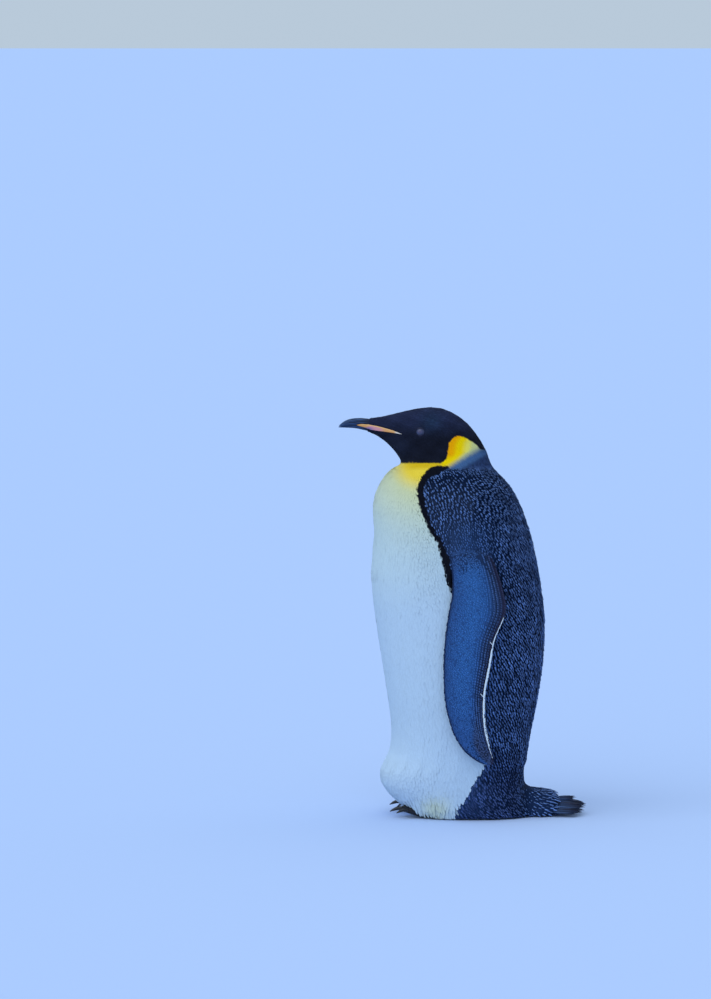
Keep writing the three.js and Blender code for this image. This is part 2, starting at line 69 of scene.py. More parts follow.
# ---- The lie of the plumage. On a bird each feather has its own place, length and lean, and these change
# slowly over the body. Each row here is a place on the bird seen from the side, with the way the feathers
# lie there, their length and width, how far their tips lift, and how deep the coat is.
FEATHER_GUIDES = [
    # place (x, z) mm, lie (x, z), length mm, width mm, lift degrees, depth mm
    ("bill base", (-214, 884), (1.0, 0.05), 5.0, 2.2, 3, -1.0),
    ("lores", (-180, 880), (1.0, 0.1), 6.0, 2.4, 3, 0.8),
    ("brow", (-150, 905), (1.0, 0.3), 7.0, 2.8, 3, 0.9),
    ("crown", (-60, 921), (1.0, -0.05), 8.0, 3.2, 3, 0.4),
    ("hindhead", (10, 893), (0.75, -0.65), 8.5, 3.4, 3, 0.8),
    ("nape", (50, 830), (0.45, -0.9), 9.0, 3.2, 5, 1.4),
    ("cheek", (-120, 850), (0.95, -0.3), 7.0, 2.8, 3, 1.0),
    ("ear", (-30, 838), (0.55, -0.83), 7.5, 3.0, 3, 1.2),
    ("chin", (-185, 856), (0.9, -0.4), 6.0, 2.4, 3, 0.8),
    ("throat", (-143, 806), (0.6, -0.8), 7.0, 3.0, 3, 1.2),
    ("collar", (-160, 784), (-0.5, -0.86), 10.0, 4.6, 1.5, 1.0),
    ("breast", (-205, 700), (-0.05, -1.0), 16.0, 8.0, 1.2, 0.6),
    ("chest", (-205, 550), (0.0, -1.0), 18.0, 9.0, 1.0, 0.4),
    ("belly", (-185, 350), (0.0, -1.0), 19.0, 9.5, 1.0, 0.8),
    ("belly fold", (-190, 110), (0.05, -1.0), 15.0, 8.0, 0.0, 1.2),
    ("under fold", (-158, 38), (0.35, -0.94), 14.0, 6.5, 1.0, 1.6),
    ("skirt", (-112, 24), (0.05, -1.0), 40.0, 5.6, 2, 1.2),
    ("side skirt", (-70, 14), (0.0, -1.0), 28.0, 5.6, 2, 1.2),
    ("shoulder", (-50, 735), (0.42, -0.90), 12.5, 5.8, 10, 2.4),
    ("mantle", (60, 745), (0.74, -0.67), 13.0, 5.8, 10, 2.4),
    ("wing fold", (0, 620), (0.3, -0.95), 8.5, 3.8, 6, 2.4),
    ("back", (130, 640), (0.66, -0.75), 17.0, 6.2, 10, 3.0),
    ("low back", (185, 400), (0.55, -0.84), 17.0, 6.4, 10, 2.6),
    ("wing side", (100, 440), (0.55, -0.84), 16.0, 6.2, 10, 3.0),
    ("rump", (150, 150), (0.50, -0.87), 15.0, 5.8, 8, 0.8),
    ("tail notch", (140, 84), (0.55, -0.84), 11.0, 4.6, 3, 4.2),
    ("flank", (0, 400), (0.05, -1.0), 17.0, 7.0, 2, 2.4),
    ("thigh", (-30, 90), (0.05, -1.0), 20.0, 7.5, 1.0, 1.6),
    ("seat", (20, 4), (0.7, -0.7), 15.0, 6.0, 3, 3.0),
    ("tail root", (155, 62), (0.8, -0.55), 14.0, 4.8, 6, 5.2),
    ("tail", (205, 45), (1.0, -0.2), 19.0, 5.0, 4, 5.0),
]
GUIDE_BLUR = 0.015


def unit(rows):
    """Each row of numbers, made one unit long."""
    return rows / np.maximum(np.linalg.norm(rows, axis=1, keepdims=True), 1e-6)


def lie_of_plumage(places):
    """The lie, length, width, lift and depth of the coat at places on the bird, in metres and radians."""
    spots = np.array([g[1] for g in FEATHER_GUIDES]) / 1000
    lies = unit(np.array([g[2] for g in FEATHER_GUIDES]))
    sizes = np.array([[g[3] / 1000, g[4] / 1000, math.radians(g[5]), g[6] / 1000] for g in FEATHER_GUIDES])
    apart = ((places[:, None, [0, 2]] - spots[None]) ** 2).sum(axis=2)
    weight = 1 / (apart + GUIDE_BLUR ** 2) ** 2
    weight /= weight.sum(axis=1, keepdims=True)
    lie = weight @ lies
    return np.column_stack([lie[:, 0], np.zeros(len(lie)), lie[:, 1]]), weight @ sizes


# ---- Markings of the plumage: black head, orange and yellow ear patch, yellow collar that pales down the
# breast, white front, black band from the neck to the flipper, and a slate blue back. Each boundary is a
# line in the side view, seen from a little above, in millimetres.
# Some colours here are painted light: a sky sheen on the crown, the chin's shade on the yellow just under it,
# and a lift of the white low down against the shade near the floor.
SIDE_SLOPE = 0.087
BAND_FRONT = [(789, -62), (785, -76), (772, -89), (754, -99), (739, -105), (726, -105), (703, -101),
    (681, -93), (660, -84), (641, -77), (620, -61), (595, -54), (578, -50), (526, -38), (506, -28),
    (400, 0), (300, 20), (200, 38), (150, 47), (119, 48), (91, 35), (61, 15), (35, 2), (15, -11), (0, -21)]
BAND_REAR = [(788, -30), (781, -42), (772, -54), (762, -80), (753, -87), (731, -89), (706, -87), (681, -80),
    (660, -73), (634, -58), (612, -44), (595, -37), (578, -31), (526, -24), (480, -8), (400, 6), (300, 24),
    (200, 41), (150, 49), (119, 50), (0, -20)]
CHIN_LEVEL = 795.5
PATCH_FRONT = [(797, -48), (804, -38.5), (817, -35.5), (829, -34), (841, -32), (849, -26.5), (855, -19),
    (857.5, -11)]
PATCH_TOP = [(-13, 857.5), (-4, 856), (6, 852), (15, 846.5), (24, 841), (32, 834), (38, 826)]
PATCH_REAR = ((-36, 782), (40, 826))

ORANGE = (1.00, 0.43, 0.001)
YELLOW = (1.00, 0.70, 0.001)
CHEST_YELLOW = (0.97, 0.70, 0.045)
DEEP_YELLOW_IN_CHIN_SHADE = (0.78, 0.50, 0.010)
PALE_YELLOW = (0.68, 0.71, 0.40)
WHITE = (0.515, 0.650, 0.776)
WARM_WHITE = (0.545, 0.672, 0.690)
BLACK = (0.0092, 0.0112, 0.0215)
CHEEK_BLACK = (0.0152, 0.0200, 0.0415)
CROWN_SHEEN_BLACK = (0.0220, 0.0300, 0.0745)
CROWN_SHEEN_BLUE = (0.0205, 0.0450, 0.0945)
NAPE_BLUE = (0.027, 0.050, 0.125)
NAPE_EDGE = (0.064, 0.138, 0.292)
BACK_BLUE = (0.085, 0.150, 0.335)
WING_BLUE = (0.046, 0.112, 0.300)
BACK_DARK = (0.0016, 0.0090, 0.0340)
RUMP_BROWN = (0.050, 0.078, 0.195)


def step(low, high, value):
    """0 below low, 1 above high, smooth between."""
    t = np.clip((value - low) / (high - low), 0, 1)
    return t * t * (3 - 2 * t)


def blend(one, other, share):
    return np.asarray(one) * (1 - share[:, None]) + np.asarray(other) * share[:, None]


def level_line(rows, level):
    """x of a boundary at each level, given as rows of (level, x)."""
    rows = sorted(rows)
    return np.interp(level, [r[0] for r in rows], [r[1] for r in rows])


def markings_and_painted_light(places, chance):
    """The colour of feather tips and of the hidden part of the feathers, at places in metres. chance is a
    number from 0 to 1 for each feather, which makes the boundaries ragged and the tones uneven."""
    x, y, z = (places * 1000).T
    level = z - SIDE_SLOPE * np.abs(y)
    uneven = chance - 0.5

    # White front, a little warmer towards the breast, with a yellow collar above and a faint stain below.
    tip = blend(WHITE, WARM_WHITE, step(430, 640, level)) * (0.985 + 0.03 * chance)[:, None]
    # Painted light: the white is made lighter low down, and most at its bottom edge, against the shade near
    # the floor.
    tip = tip * (1 + 0.045 * step(230, 110, level))[:, None]
    tip = np.minimum(tip * (1 + 0.14 * step(48, 14, level))[:, None], 0.99)
    stain = np.exp(-(((x + 62) / 34) ** 2) - ((level - 16) / 26) ** 2)
    tip = blend(tip, PALE_YELLOW, stain * 0.65)
    reach = np.sqrt(((x + 92) / 105) ** 2 + ((785 - level) / 100) ** 2)
    tip = blend(tip, PALE_YELLOW, np.clip((2.20 - reach) / 1.6, 0, 1) ** 1.8)
    strong = np.sqrt(((x + 98) / 56) ** 2 + ((788 - level) / 48) ** 2)
    tip = blend(tip, CHEST_YELLOW, step(1.35, 0.45, strong) * 0.97)
    # A deeper orange yellow strip just under the chin, darker partly as painted shade of the chin.
    tip = blend(tip, DEEP_YELLOW_IN_CHIN_SHADE, step(-150, -105, x) * step(777, 790, level) * 0.95)
    under = tip * np.array([0.95, 0.955, 0.96])

    # The black band, with a fringed front edge.
    ahead = x - level_line(BAND_FRONT, level) + uneven * 4
    band = step(-1.0, 1.0, ahead) * step(791, 788, level + uneven * 2)
    tip = blend(tip, np.asarray(BLACK) * 0.6, band)
    under = blend(under, np.asarray(BLACK) * 0.5, band)

    # Slate blue back behind the band, in wavy slanting rows, and browner and darker towards the tail.
    behind = x - level_line(BAND_REAR, level) + uneven * 5
    back = step(-1.0, 1.0, behind)
    warp = 4 * np.sin(x / 15 + 1.3) + 4 * np.sin(z / 21 + y / 31) + 3 * np.sin(x / 8 - z / 11)
    rows = np.sin(2 * math.pi * (0.80 * x + 0.60 * z + warp) / 10.5)
    clumps = np.sin(x / 13 - z / 17 + 2 * np.sin(z / 29)) * np.sin(x / 19 + z / 12 + y / 23)
    deep = 0.55 + 0.45 * step(-30, 40, x - (level - 560) * 0.25)
    tone = np.clip((0.60 + 0.80 * chance) * (1 + deep * (0.15 * rows + 0.36 * clumps)), 0.15, 2.0)
    tone = np.where(chance < 0.06, 0.30, tone)
    tone = 1 + (tone - 1) * (1 - 0.3 * step(775, 800, level))
    slate = blend(BACK_BLUE, NAPE_BLUE, step(772, 790, level)) * tone[:, None]
    slate = slate * (1 - 0.15 * step(45, 110, x) * step(380, 520, level))[:, None]
    wing = 0.85 * np.exp(-((x - 6) / 54) ** 2) * step(705, 600, level)
    slate = blend(slate, np.asarray(WING_BLUE) * tone[:, None], wing)
    rump = step(170, 60, level) * step(150, 110, x) * 0.8
    slate = blend(slate, np.asarray(RUMP_BROWN) * tone[:, None], rump)
    slate_under = blend(BACK_DARK, np.asarray(NAPE_BLUE) * 0.5, step(772, 790, level))
    front_back = step(0.75, 0.56, deep) * step(760, 700, level)
    slate_under = blend(slate_under, np.asarray(BACK_BLUE) * 0.20, front_back)
    slate_under = blend(slate_under, np.asarray(WING_BLUE) * 0.42, wing)
    tail = step(132, 165, x) * step(110, 85, level)
    slate = slate * (1 + 0.35 * tail)[:, None]
    slate_under = blend(slate_under, (0.0105, 0.0280, 0.0850), tail)
    tip = blend(tip, slate, back)
    under = blend(under, slate_under, back)

    # The ear patch: orange in front, yellow, then paling backwards into the blue of the nape.
    front = x - level_line(PATCH_FRONT, level) + uneven * 1.2
    (x1, z1), (x2, z2) = PATCH_REAR
    long = math.hypot(x2 - x1, z2 - z1)
    past = ((x - x1) * (z2 - z1) - (level - z1) * (x2 - x1)) / long
    patch = blend(ORANGE, YELLOW, np.clip(step(7, 24, front) + step(818, 800, level), 0, 1))
    patch = blend(patch, (0.94, 0.82, 0.130), step(27, 45, front))
    patch = blend(patch, (0.68, 0.69, 0.280), step(43, 56, front))
    patch = blend(patch, (0.60, 0.62, 0.300), step(-16, -6, past) * step(16, 40, front) * 0.8)
    patch = blend(patch, NAPE_EDGE, step(-13, 5, past + uneven * 2))
    patch = blend(patch, slate, step(8, 21, past + uneven * 4))
    patch = blend(patch, YELLOW, step(8, 0, front) * step(806, 800, level))
    low_edge = 787 - 8 * step(-36, -28, x)
    upper = step(0, 4, level - low_edge + uneven * 3)
    tip = blend(tip, patch, upper * step(-52, -46, x))
    under = blend(under, patch * 0.97, upper * step(-52, -46, x))

    # The black head comes down to the chin line, round the front and over the top of the ear patch, and
    # fades into the nape behind it.
    chin = step(-0.8, 0.8, level - CHIN_LEVEL + uneven * 0.5)
    over = level - np.interp(x, [p[0] for p in PATCH_TOP], [p[1] for p in PATCH_TOP]) + uneven * 1.5
    before = -(x - level_line(PATCH_FRONT, level)) + uneven * 1.5
    black = chin * np.clip(step(-1, 1, over) * step(-18, -14, x) + step(-1, 1, before), 0, 1)
    black = np.maximum(black, step(812, 850, level + uneven * 14) * step(32, 44, x))
    # Painted sky sheen: the black is lighter and bluer towards the top of the head, most on the front of the
    # crown.
    head = blend(BLACK, CROWN_SHEEN_BLACK, step(848, 908, z))
    head = blend(head, CHEEK_BLACK, np.exp(-(((x + 148) / 34) ** 2) - ((z - 838) / 30) ** 2))
    head = blend(head, CROWN_SHEEN_BLUE, 0.6 * np.exp(-(((x + 72) / 22) ** 2) - ((z - 893) / 20) ** 2))
    mottle = 1 + 0.16 * np.sin(x / 9 + 1.2 * np.sin(z / 13)) * np.sin(z / 7 + y / 17)
    head = head * (mottle * (0.85 + 0.3 * chance))[:, None]
    tip = blend(tip, head, black)
    under = blend(under, head * 0.8, black)
    return tip, under


# ---- Skin of the body: one closed surface from the bill's base to the tail, in place of the head, neck,
# trunk, belly fold, legs, rump and tail coverts. It lies inside them by the depth of the coat.
FLESH = ["head", "neck", "trunk", "belly_fold", "leg_left", "leg_right", "rump", "tail_coverts"]
FLIPPERS = ["flipper_left", "flipper_right"]
EYES = ["eye_left", "eye_right"]
SKIN_GRAIN = 0.0045
SHOULDER_CUT = 0.56
TRUNK_LOW, TRUNK_HIGH = 0.13, 0.76
COVERED_BELOW = 0.605
COVERED_DEEPER = 0.006
EYE_OPENING = 0.0128
STAND_OFF = 0.0009
SHORTEST = 0.004
SPINE = [(-0.216, 0.883), (-0.165, 0.875), (-0.125, 0.868), (-0.090, 0.855), (-0.066, 0.832), (-0.050, 0.808),
    (-0.045, 0.780), (-0.036, 0.740), (-0.030, 0.640), (-0.018, 0.450), (0.0, 0.250), (0.0, 0.0)]
TAIL_SPINE = [(0.100, 0.034), (0.215, 0.026)]


def clean_copy(names):
    """One mesh of copies of CAD nodes, each with its loose triangles merged."""
    whole = bmesh.new()
    for name in names:
        whole.from_mesh(nodes[name].data)
    bmesh.ops.remove_doubles(whole, verts=whole.verts, dist=1e-6)
    return whole


def new_object(name, mesh):
    made = bpy.data.objects.new(name, mesh)
    bpy.context.scene.collection.objects.link(made)
    return made


def mesh_of(name, whole):
    mesh = bpy.data.meshes.new(name)
    whole.to_mesh(mesh)
    whole.free()
    return mesh


def apply_modifiers(piece):
    """Turns what the modifiers make into the piece's own mesh."""
    bpy.context.view_layer.update()
    depsgraph = bpy.context.evaluated_depsgraph_get()
    made = bpy.data.meshes.new_from_object(piece.evaluated_get(depsgraph), preserve_all_data_layers=True,
        depsgraph=depsgraph)
    piece.modifiers.clear()
    piece.data = made
    made.name = piece.name
    return piece


def add_smoothing(piece, rounds, group=""):
    smooth = piece.modifiers.new("smooth", "SMOOTH")
    smooth.factor = 0.5
    smooth.iterations = rounds
    smooth.vertex_group = group


def smooth_skin(piece, grain, rounds):
    """Makes a piece one closed skin, remeshed at a grain and smoothed."""
    remesh = piece.modifiers.new("remesh", "REMESH")
    remesh.mode = "VOXEL"
    remesh.voxel_size = grain
    remesh.use_smooth_shade = True
    add_smoothing(piece, rounds)
    return apply_modifiers(piece)


def listed(items, field, width=1, kind=np.float64):
    """One field of a mesh's items, as an array."""
    values = np.empty(len(items) * width, dtype=kind)
    items.foreach_get(field, values)
    return values if width == 1 else values.reshape(-1, width)


def points_of(mesh):
    return listed(mesh.vertices, "co", 3)


def normals_of(mesh):
    return listed(mesh.vertex_normals, "vector", 3)


def move_points(mesh, spots):
    mesh.vertices.foreach_set("co", spots.ravel())
    mesh.update()


def store(mesh, name, values, domain="POINT"):
    """Keeps numbers, pairs, vectors or colours as an attribute of a mesh."""
    values = np.asarray(values)
    kind, field = {1: ("FLOAT", "value"), 2: ("FLOAT2", "vector"), 3: ("FLOAT_VECTOR", "vector"),
        4: ("FLOAT_COLOR", "color")}[1 if values.ndim == 1 else values.shape[1]]
    number = np.float32
    if values.dtype.kind == "i":
        kind, number = "INT", np.int32
    layer = mesh.attributes.get(name) or mesh.attributes.new(name, kind, domain)
    layer.data.foreach_set(field, np.ascontiguousarray(values, dtype=number).ravel())


def with_alpha(colours):
    return np.column_stack([np.clip(colours, 0, 1), np.ones(len(colours))])


def lay_flat(lie, facing):
    """The lie of feathers, turned into a surface with these facings."""
    return unit(lie - (lie * facing).sum(axis=1, keepdims=True) * facing)


def unwrap_round(places, spine):
    """Angle round a spine in the median plane and the way along it, both from 0 to 1."""
    points = np.array(spine)
    best = np.full(len(places), np.inf)
    along = np.zeros(len(places))
    angle = np.zeros(len(places))
    flat = places[:, [0, 2]]
    lengths = np.linalg.norm(np.diff(points, axis=0), axis=1)
    total = lengths.sum()
    for n, (a, b) in enumerate(zip(points[:-1], points[1:])):
        way = (b - a) / lengths[n]
        share = np.clip((flat - a) @ way, 0, lengths[n])
        off = flat - (a + share[:, None] * way)
        distance = np.linalg.norm(off, axis=1)
        nearer = distance < best
        rise = off @ np.array([-way[1], way[0]])
        along = np.where(nearer, (lengths[:n].sum() + share) / total, along)
        angle = np.where(nearer, np.arctan2(places[:, 1], rise), angle)
        best = np.minimum(best, distance)
    return np.column_stack([0.5 + angle / (2 * math.pi), along])


body = clean_copy(FLESH)
for name in EYES:
    body.from_mesh(nodes[name].data)
shoulders = clean_copy(FLIPPERS)
bmesh.ops.bisect_plane(shoulders, geom=shoulders.verts[:] + shoulders.edges[:] + shoulders.faces[:],
    plane_co=(0, 0, SHOULDER_CUT), plane_no=(0, 0, 1), clear_inner=True)
bmesh.ops.holes_fill(shoulders, edges=[e for e in shoulders.edges if e.is_boundary])
shoulder_mesh = mesh_of("shoulders", shoulders)
body.from_mesh(shoulder_mesh)
bpy.data.meshes.remove(shoulder_mesh)
skin = smooth_skin(new_object("skin", mesh_of("skin", body)), SKIN_GRAIN, 12)
trunk_share = skin.vertex_groups.new(name="trunk")
for vertex in skin.data.vertices:
    share = min(max((vertex.co.z - TRUNK_LOW) / 0.08, 0), max((TRUNK_HIGH - vertex.co.z) / 0.05, 0), 1)
    if share > 0:
        trunk_share.add([vertex.index], share, "REPLACE")
add_smoothing(skin, 45, "trunk")
apply_modifiers(skin)
skin.vertex_groups.clear()

flipper_trees = []
for name in FLIPPERS:
    merged = clean_copy([name])
    flipper_trees.append(BVHTree.FromBMesh(merged))
    merged.free()


def inside_flipper(place, margin):
    """Whether a place is in a flipper, or nearer to it than the margin."""
    way = Vector((0.02, math.copysign(1, place.y), 0.03)).normalized()
    for tree in flipper_trees:
        if tree.find_nearest(place)[3] < margin:
            return True
        crossings, start = 0, place.copy()
        while (hit := tree.ray_cast(start, way)[0]) is not None:
            crossings += 1
            start = hit + way * 1e-5
        if crossings % 2:
            return True
    return False


surface, normals = points_of(skin.data), normals_of(skin.data)
lie, sizes = lie_of_plumage(surface)
lie = lay_flat(lie, normals)
x, y, z = surface.T

# No feathers grow under the flippers, in the pockets where the feet come out, or in the eyes' openings.
near_flipper = (np.abs(y) > 0.09) & (z < 0.68) & (z > 0.13) & (x > -0.06) & (x < 0.105)
bare = np.zeros(len(surface))
deeper = np.zeros(len(surface))
for i in np.nonzero(near_flipper)[0]:
    place = Vector(surface[i])
    if place.z < COVERED_BELOW and inside_flipper(place, 0.0012):
        bare[i] = 1.0
        deeper[i] = min(1.0, (COVERED_BELOW - place.z) / 0.03)
pocket = (z < 0.036) & (np.abs(np.abs(y) - 0.054) < 0.037) & (x < -0.036)
bare[pocket & (normals[:, 0] > -0.75)] = 1.0
for name in EYES:
    eye_middle = np.mean(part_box(name), axis=0)
    for share in (0.0, 0.35, 0.7, 1.0):
        reached = surface + lie * sizes[:, :1] * share
        bare[np.linalg.norm(reached - eye_middle, axis=1) < EYE_OPENING] = 1.0

surface -= normals * (sizes[:, 3] + deeper * COVERED_DEEPER)[:, None]
move_points(skin.data, surface)

# A stiff feather would stand off where the body curves away under it, so there it is shorter, apart from
# the fringe that hangs over the feet. None reaches below the floor.
skin_tree = BVHTree.FromPolygons(surface.tolist(), [tuple(f.vertices) for f in skin.data.polygons])
stand_off = np.zeros(len(surface))
for i, tip in enumerate(surface + lie * sizes[:, :1]):
    beneath, facing, _, gap = skin_tree.find_nearest(Vector(tip))
    if (Vector(tip) - beneath).dot(facing) > 0:
        stand_off[i] = gap
shorter = np.clip(np.sqrt(STAND_OFF / np.maximum(stand_off, 1e-6)), 0.5, 1.0)
long, wide, lift = sizes[:, 0], sizes[:, 1], sizes[:, 2]
long *= np.maximum(shorter, step(0.066, 0.046, surface[:, 2]))
to_floor = surface[:, 2] / np.maximum(-lie[:, 2], 0.25)
long = np.maximum(np.minimum(long, to_floor), SHORTEST)
thick = wide * np.interp(lift, np.radians((2, 8)), (0.28, 1.0))
for label, values in (("lie", lie), ("long", long), ("wide", wide), ("lift", lift), ("thick", thick),
        ("feathered", 1 - bare)):
    store(skin.data, label, values)

# Regions of the coat. Each becomes one piece, apart from the one whose feathers are laid in rows.
REGIONS = ("head", "collar", "breast", "belly", "nape", "wing_fold", "seat", "tail", "in_rows")
x, y, z = (listed(skin.data.polygons, "center", 3) * 1000).T
level = z - SIDE_SLOPE * np.abs(y)
in_front = x <= level_line(BAND_REAR, level)
region_where = {
    "tail": (x > 138) & (z < 76) & (np.abs(y) < 66),
    "head": level > 790,
    "collar": in_front & (level > 650),
    "breast": in_front & (level > 380),
    "belly": in_front,
    "nape": z > 778,
    "wing_fold": (((x - 14) / 46) ** 2 + ((z - 612) / 66) ** 2 < 1) & (np.abs(y) > 60),
    "seat": z < 88,
}
region = np.select(list(region_where.values()), [REGIONS.index(r) for r in region_where],
    REGIONS.index("in_rows"))
store(skin.data, "region", region, "FACE")
skin_corner = np.array([f.vertices[0] for f in skin.data.polygons])

corner_vertex = listed(skin.data.loops, "vertex_index", kind=int)
corner_count = listed(skin.data.polygons, "loop_total", kind=int)
corner_face = np.repeat(np.arange(len(corner_count)), corner_count)
on_tail = (region[corner_face] == REGIONS.index("tail"))[:, None]
unwrapped = np.where(on_tail, unwrap_round(surface, TAIL_SPINE)[corner_vertex],
    unwrap_round(surface, SPINE)[corner_vertex])
low = np.full(len(corner_count), np.inf)
high = np.full(len(corner_count), -np.inf)
np.minimum.at(low, corner_face, unwrapped[:, 0])
np.maximum.at(high, corner_face, unwrapped[:, 0])
over_seam = (high - low)[corner_face] > 0.5
unwrapped[over_seam & (unwrapped[:, 0] < 0.5), 0] += 1
store(skin.data, "unwrap", unwrapped, "CORNER")
store(skin.data, "tint", with_alpha(markings_and_painted_light(surface, np.full(len(surface), 0.5))[1]))


def feed(tree, socket, value):
    """Sets a socket, or links another node's output to it."""
    if isinstance(value, bpy.types.NodeSocket):
        tree.links.new(value, socket)
    else:
        socket.default_value = value


def add_node(tree, kind, inputs={}, **settings):
    node = tree.nodes.new(kind)
    for name, value in settings.items():
        setattr(node, name, value)
    for socket, value in inputs.items():
        feed(tree, node.inputs[socket], value)
    return node


def maths(tree, operation, *values):
    return add_node(tree, "ShaderNodeMath", dict(enumerate(values)), operation=operation).outputs["Value"]


def attribute(tree, name, output="Color"):
    return add_node(tree, "ShaderNodeAttribute", attribute_name=name).outputs[output]


def on_piece(tree):
    return add_node(tree, "ShaderNodeTexCoord").outputs["Object"]


def new_material(name, roughness, specular):
    """A material, its tree and its shader."""
    material = bpy.data.materials.new(name)
    material.use_nodes = True
    shader = material.node_tree.nodes["Principled BSDF"]
    shader.inputs["Roughness"].default_value = roughness
    shader.inputs["Specular IOR Level"].default_value = specular
    return material, material.node_tree, shader


def add_relief(tree, shader, height, strength, distance):
    bump = add_node(tree, "ShaderNodeBump", {"Strength": strength, "Distance": distance, "Height": height})
    feed(tree, shader.inputs["Normal"], bump.outputs["Normal"])


def down_material():
    """The short dense down on the skin between the feathers, in the colour of the coat over it."""
    material, tree, shader = new_material("down", 0.9, 0.1)
    noise = add_node(tree, "ShaderNodeTexNoise", {"Scale": 900.0, "Vector": on_piece(tree)})
    add_relief(tree, shader, noise.outputs["Fac"], 0.6, 0.0008)
    feed(tree, shader.inputs["Base Color"], attribute(tree, "tint"))
    return material


skin.data.materials.clear()
skin.data.materials.append(down_material())


# ---- Flippers: stiff flat blades of bone under a hard coat of scale-like feathers in close rows. They hang
# from the shoulders along the flanks. Each row is (leading edge x, z), (trailing edge x, z), thickness.
BLADE_STATIONS = np.array([
    (-44, 668, 30, 676, 30), (-38, 616, 54, 620, 30), (-29, 569, 71, 575, 27), (-28, 519, 86.5, 526, 23),
    (-37, 467, 93.5, 477, 18.5), (-44.5, 411, 69, 416, 16), (-47, 350, 58.5, 362, 14.5),
    (-45, 290, 46.5, 299, 13), (-37, 245, 45, 249, 11.5), (-22.5, 201, 49.5, 206, 10),
    (-1, 167, 57.5, 172.5, 8.5), (24, 145.5, 63.5, 150, 7), (40, 137, 62, 140, 5.5)]) / 1000
BLADE_TOP = 0.60
BLADE_SUNK = 0.64


def curve_through(rows, way):
    """Points of a smooth curve through evenly counted rows, at ways from 0 to 1."""
    last = len(rows) - 1
    spot = np.clip(way, 0, 1) * last
    n = np.minimum(spot.astype(int), last - 1)
    t = (spot - n)[:, None]
    p0, p1, p2, p3 = (rows[np.clip(n + k, 0, last)] for k in (-1, 0, 1, 2))
    return 0.5 * (2 * p1 + (p2 - p0) * t + (2 * p0 - 5 * p1 + 4 * p2 - p3) * t ** 2
        + (3 * p1 - p0 - 3 * p2 + p3) * t ** 3)


def blade_middle(tree, side):
    """y of the middle of a flipper on a grid of ways down it and across it, smoothed."""
    ways, across = np.linspace(0, 1, 61), np.linspace(0.08, 0.92, 9)
    grid = np.full((61, 9), np.nan)
    for i, way in enumerate(ways):
        row = curve_through(BLADE_STATIONS, np.array([way]))[0]
        for j, share in enumerate(across):
            x, z = row[0:2] * (1 - share) + row[2:4] * share
            outer = tree.ray_cast(Vector((x, side * 0.5, z)), Vector((0, -side, 0)))[0]
            inner = tree.ray_cast(Vector((x, 0, z)), Vector((0, side, 0)))[0]
            if outer and inner:
                grid[i, j] = (outer.y + inner.y) / 2
    for j in range(9):
        known = ~np.isnan(grid[:, j])
        grid[:, j] = np.interp(ways, ways[known], grid[known, j])
    for _ in range(6):
        grid[1:-1] = grid[1:-1] / 2 + (grid[:-2] + grid[2:]) / 4
        grid[:, 1:-1] = grid[:, 1:-1] / 2 + (grid[:, :-2] + grid[:, 2:]) / 4
    return grid


def blade_surface(middle, way, share, face, inset):
    """Points of the flipper's surface. share goes from the leading edge to the trailing one, and face is
    1 on the outer face, -1 on the inner one."""
    row = curve_through(BLADE_STATIONS, way)
    chord = row[:, 2:4] - row[:, 0:2]
    long = np.linalg.norm(chord, axis=1)
    kept = inset / long
    place = kept + share * (1 - 2 * kept)
    flat = row[:, 0:2] + chord * place[:, None]
    i, j = np.clip(way, 0, 1) * 60, np.clip((place - 0.08) / 0.105, 0, 8)
    i0, j0 = np.minimum(i.astype(int), 59), np.minimum(j.astype(int), 7)
    fi, fj = i - i0, j - j0
    y = (middle[i0, j0] * (1 - fi) * (1 - fj) + middle[i0 + 1, j0] * fi * (1 - fj)
        + middle[i0, j0 + 1] * (1 - fi) * fj + middle[i0 + 1, j0 + 1] * fi * fj)
    blunt = np.sqrt(share) * np.maximum(1 - share, 0) ** 0.72
    half = np.maximum(row[:, 4] / 2 * blunt / 0.445 - inset, 0)
    half = np.where((share <= 0) | (share >= 1), 0, np.maximum(half, 0.0006))
    return np.column_stack([flat[:, 0], y + face * np.sign(middle[30, 4]) * half, flat[:, 1]])


def blade_inset(way):
    """How far the skin lies inside the flipper's form: a scale's depth, and more under the shoulder."""
    height = curve_through(BLADE_STATIONS, way)[:, 1]
    return 0.0011 + 0.006 * step(BLADE_TOP, BLADE_SUNK, height)


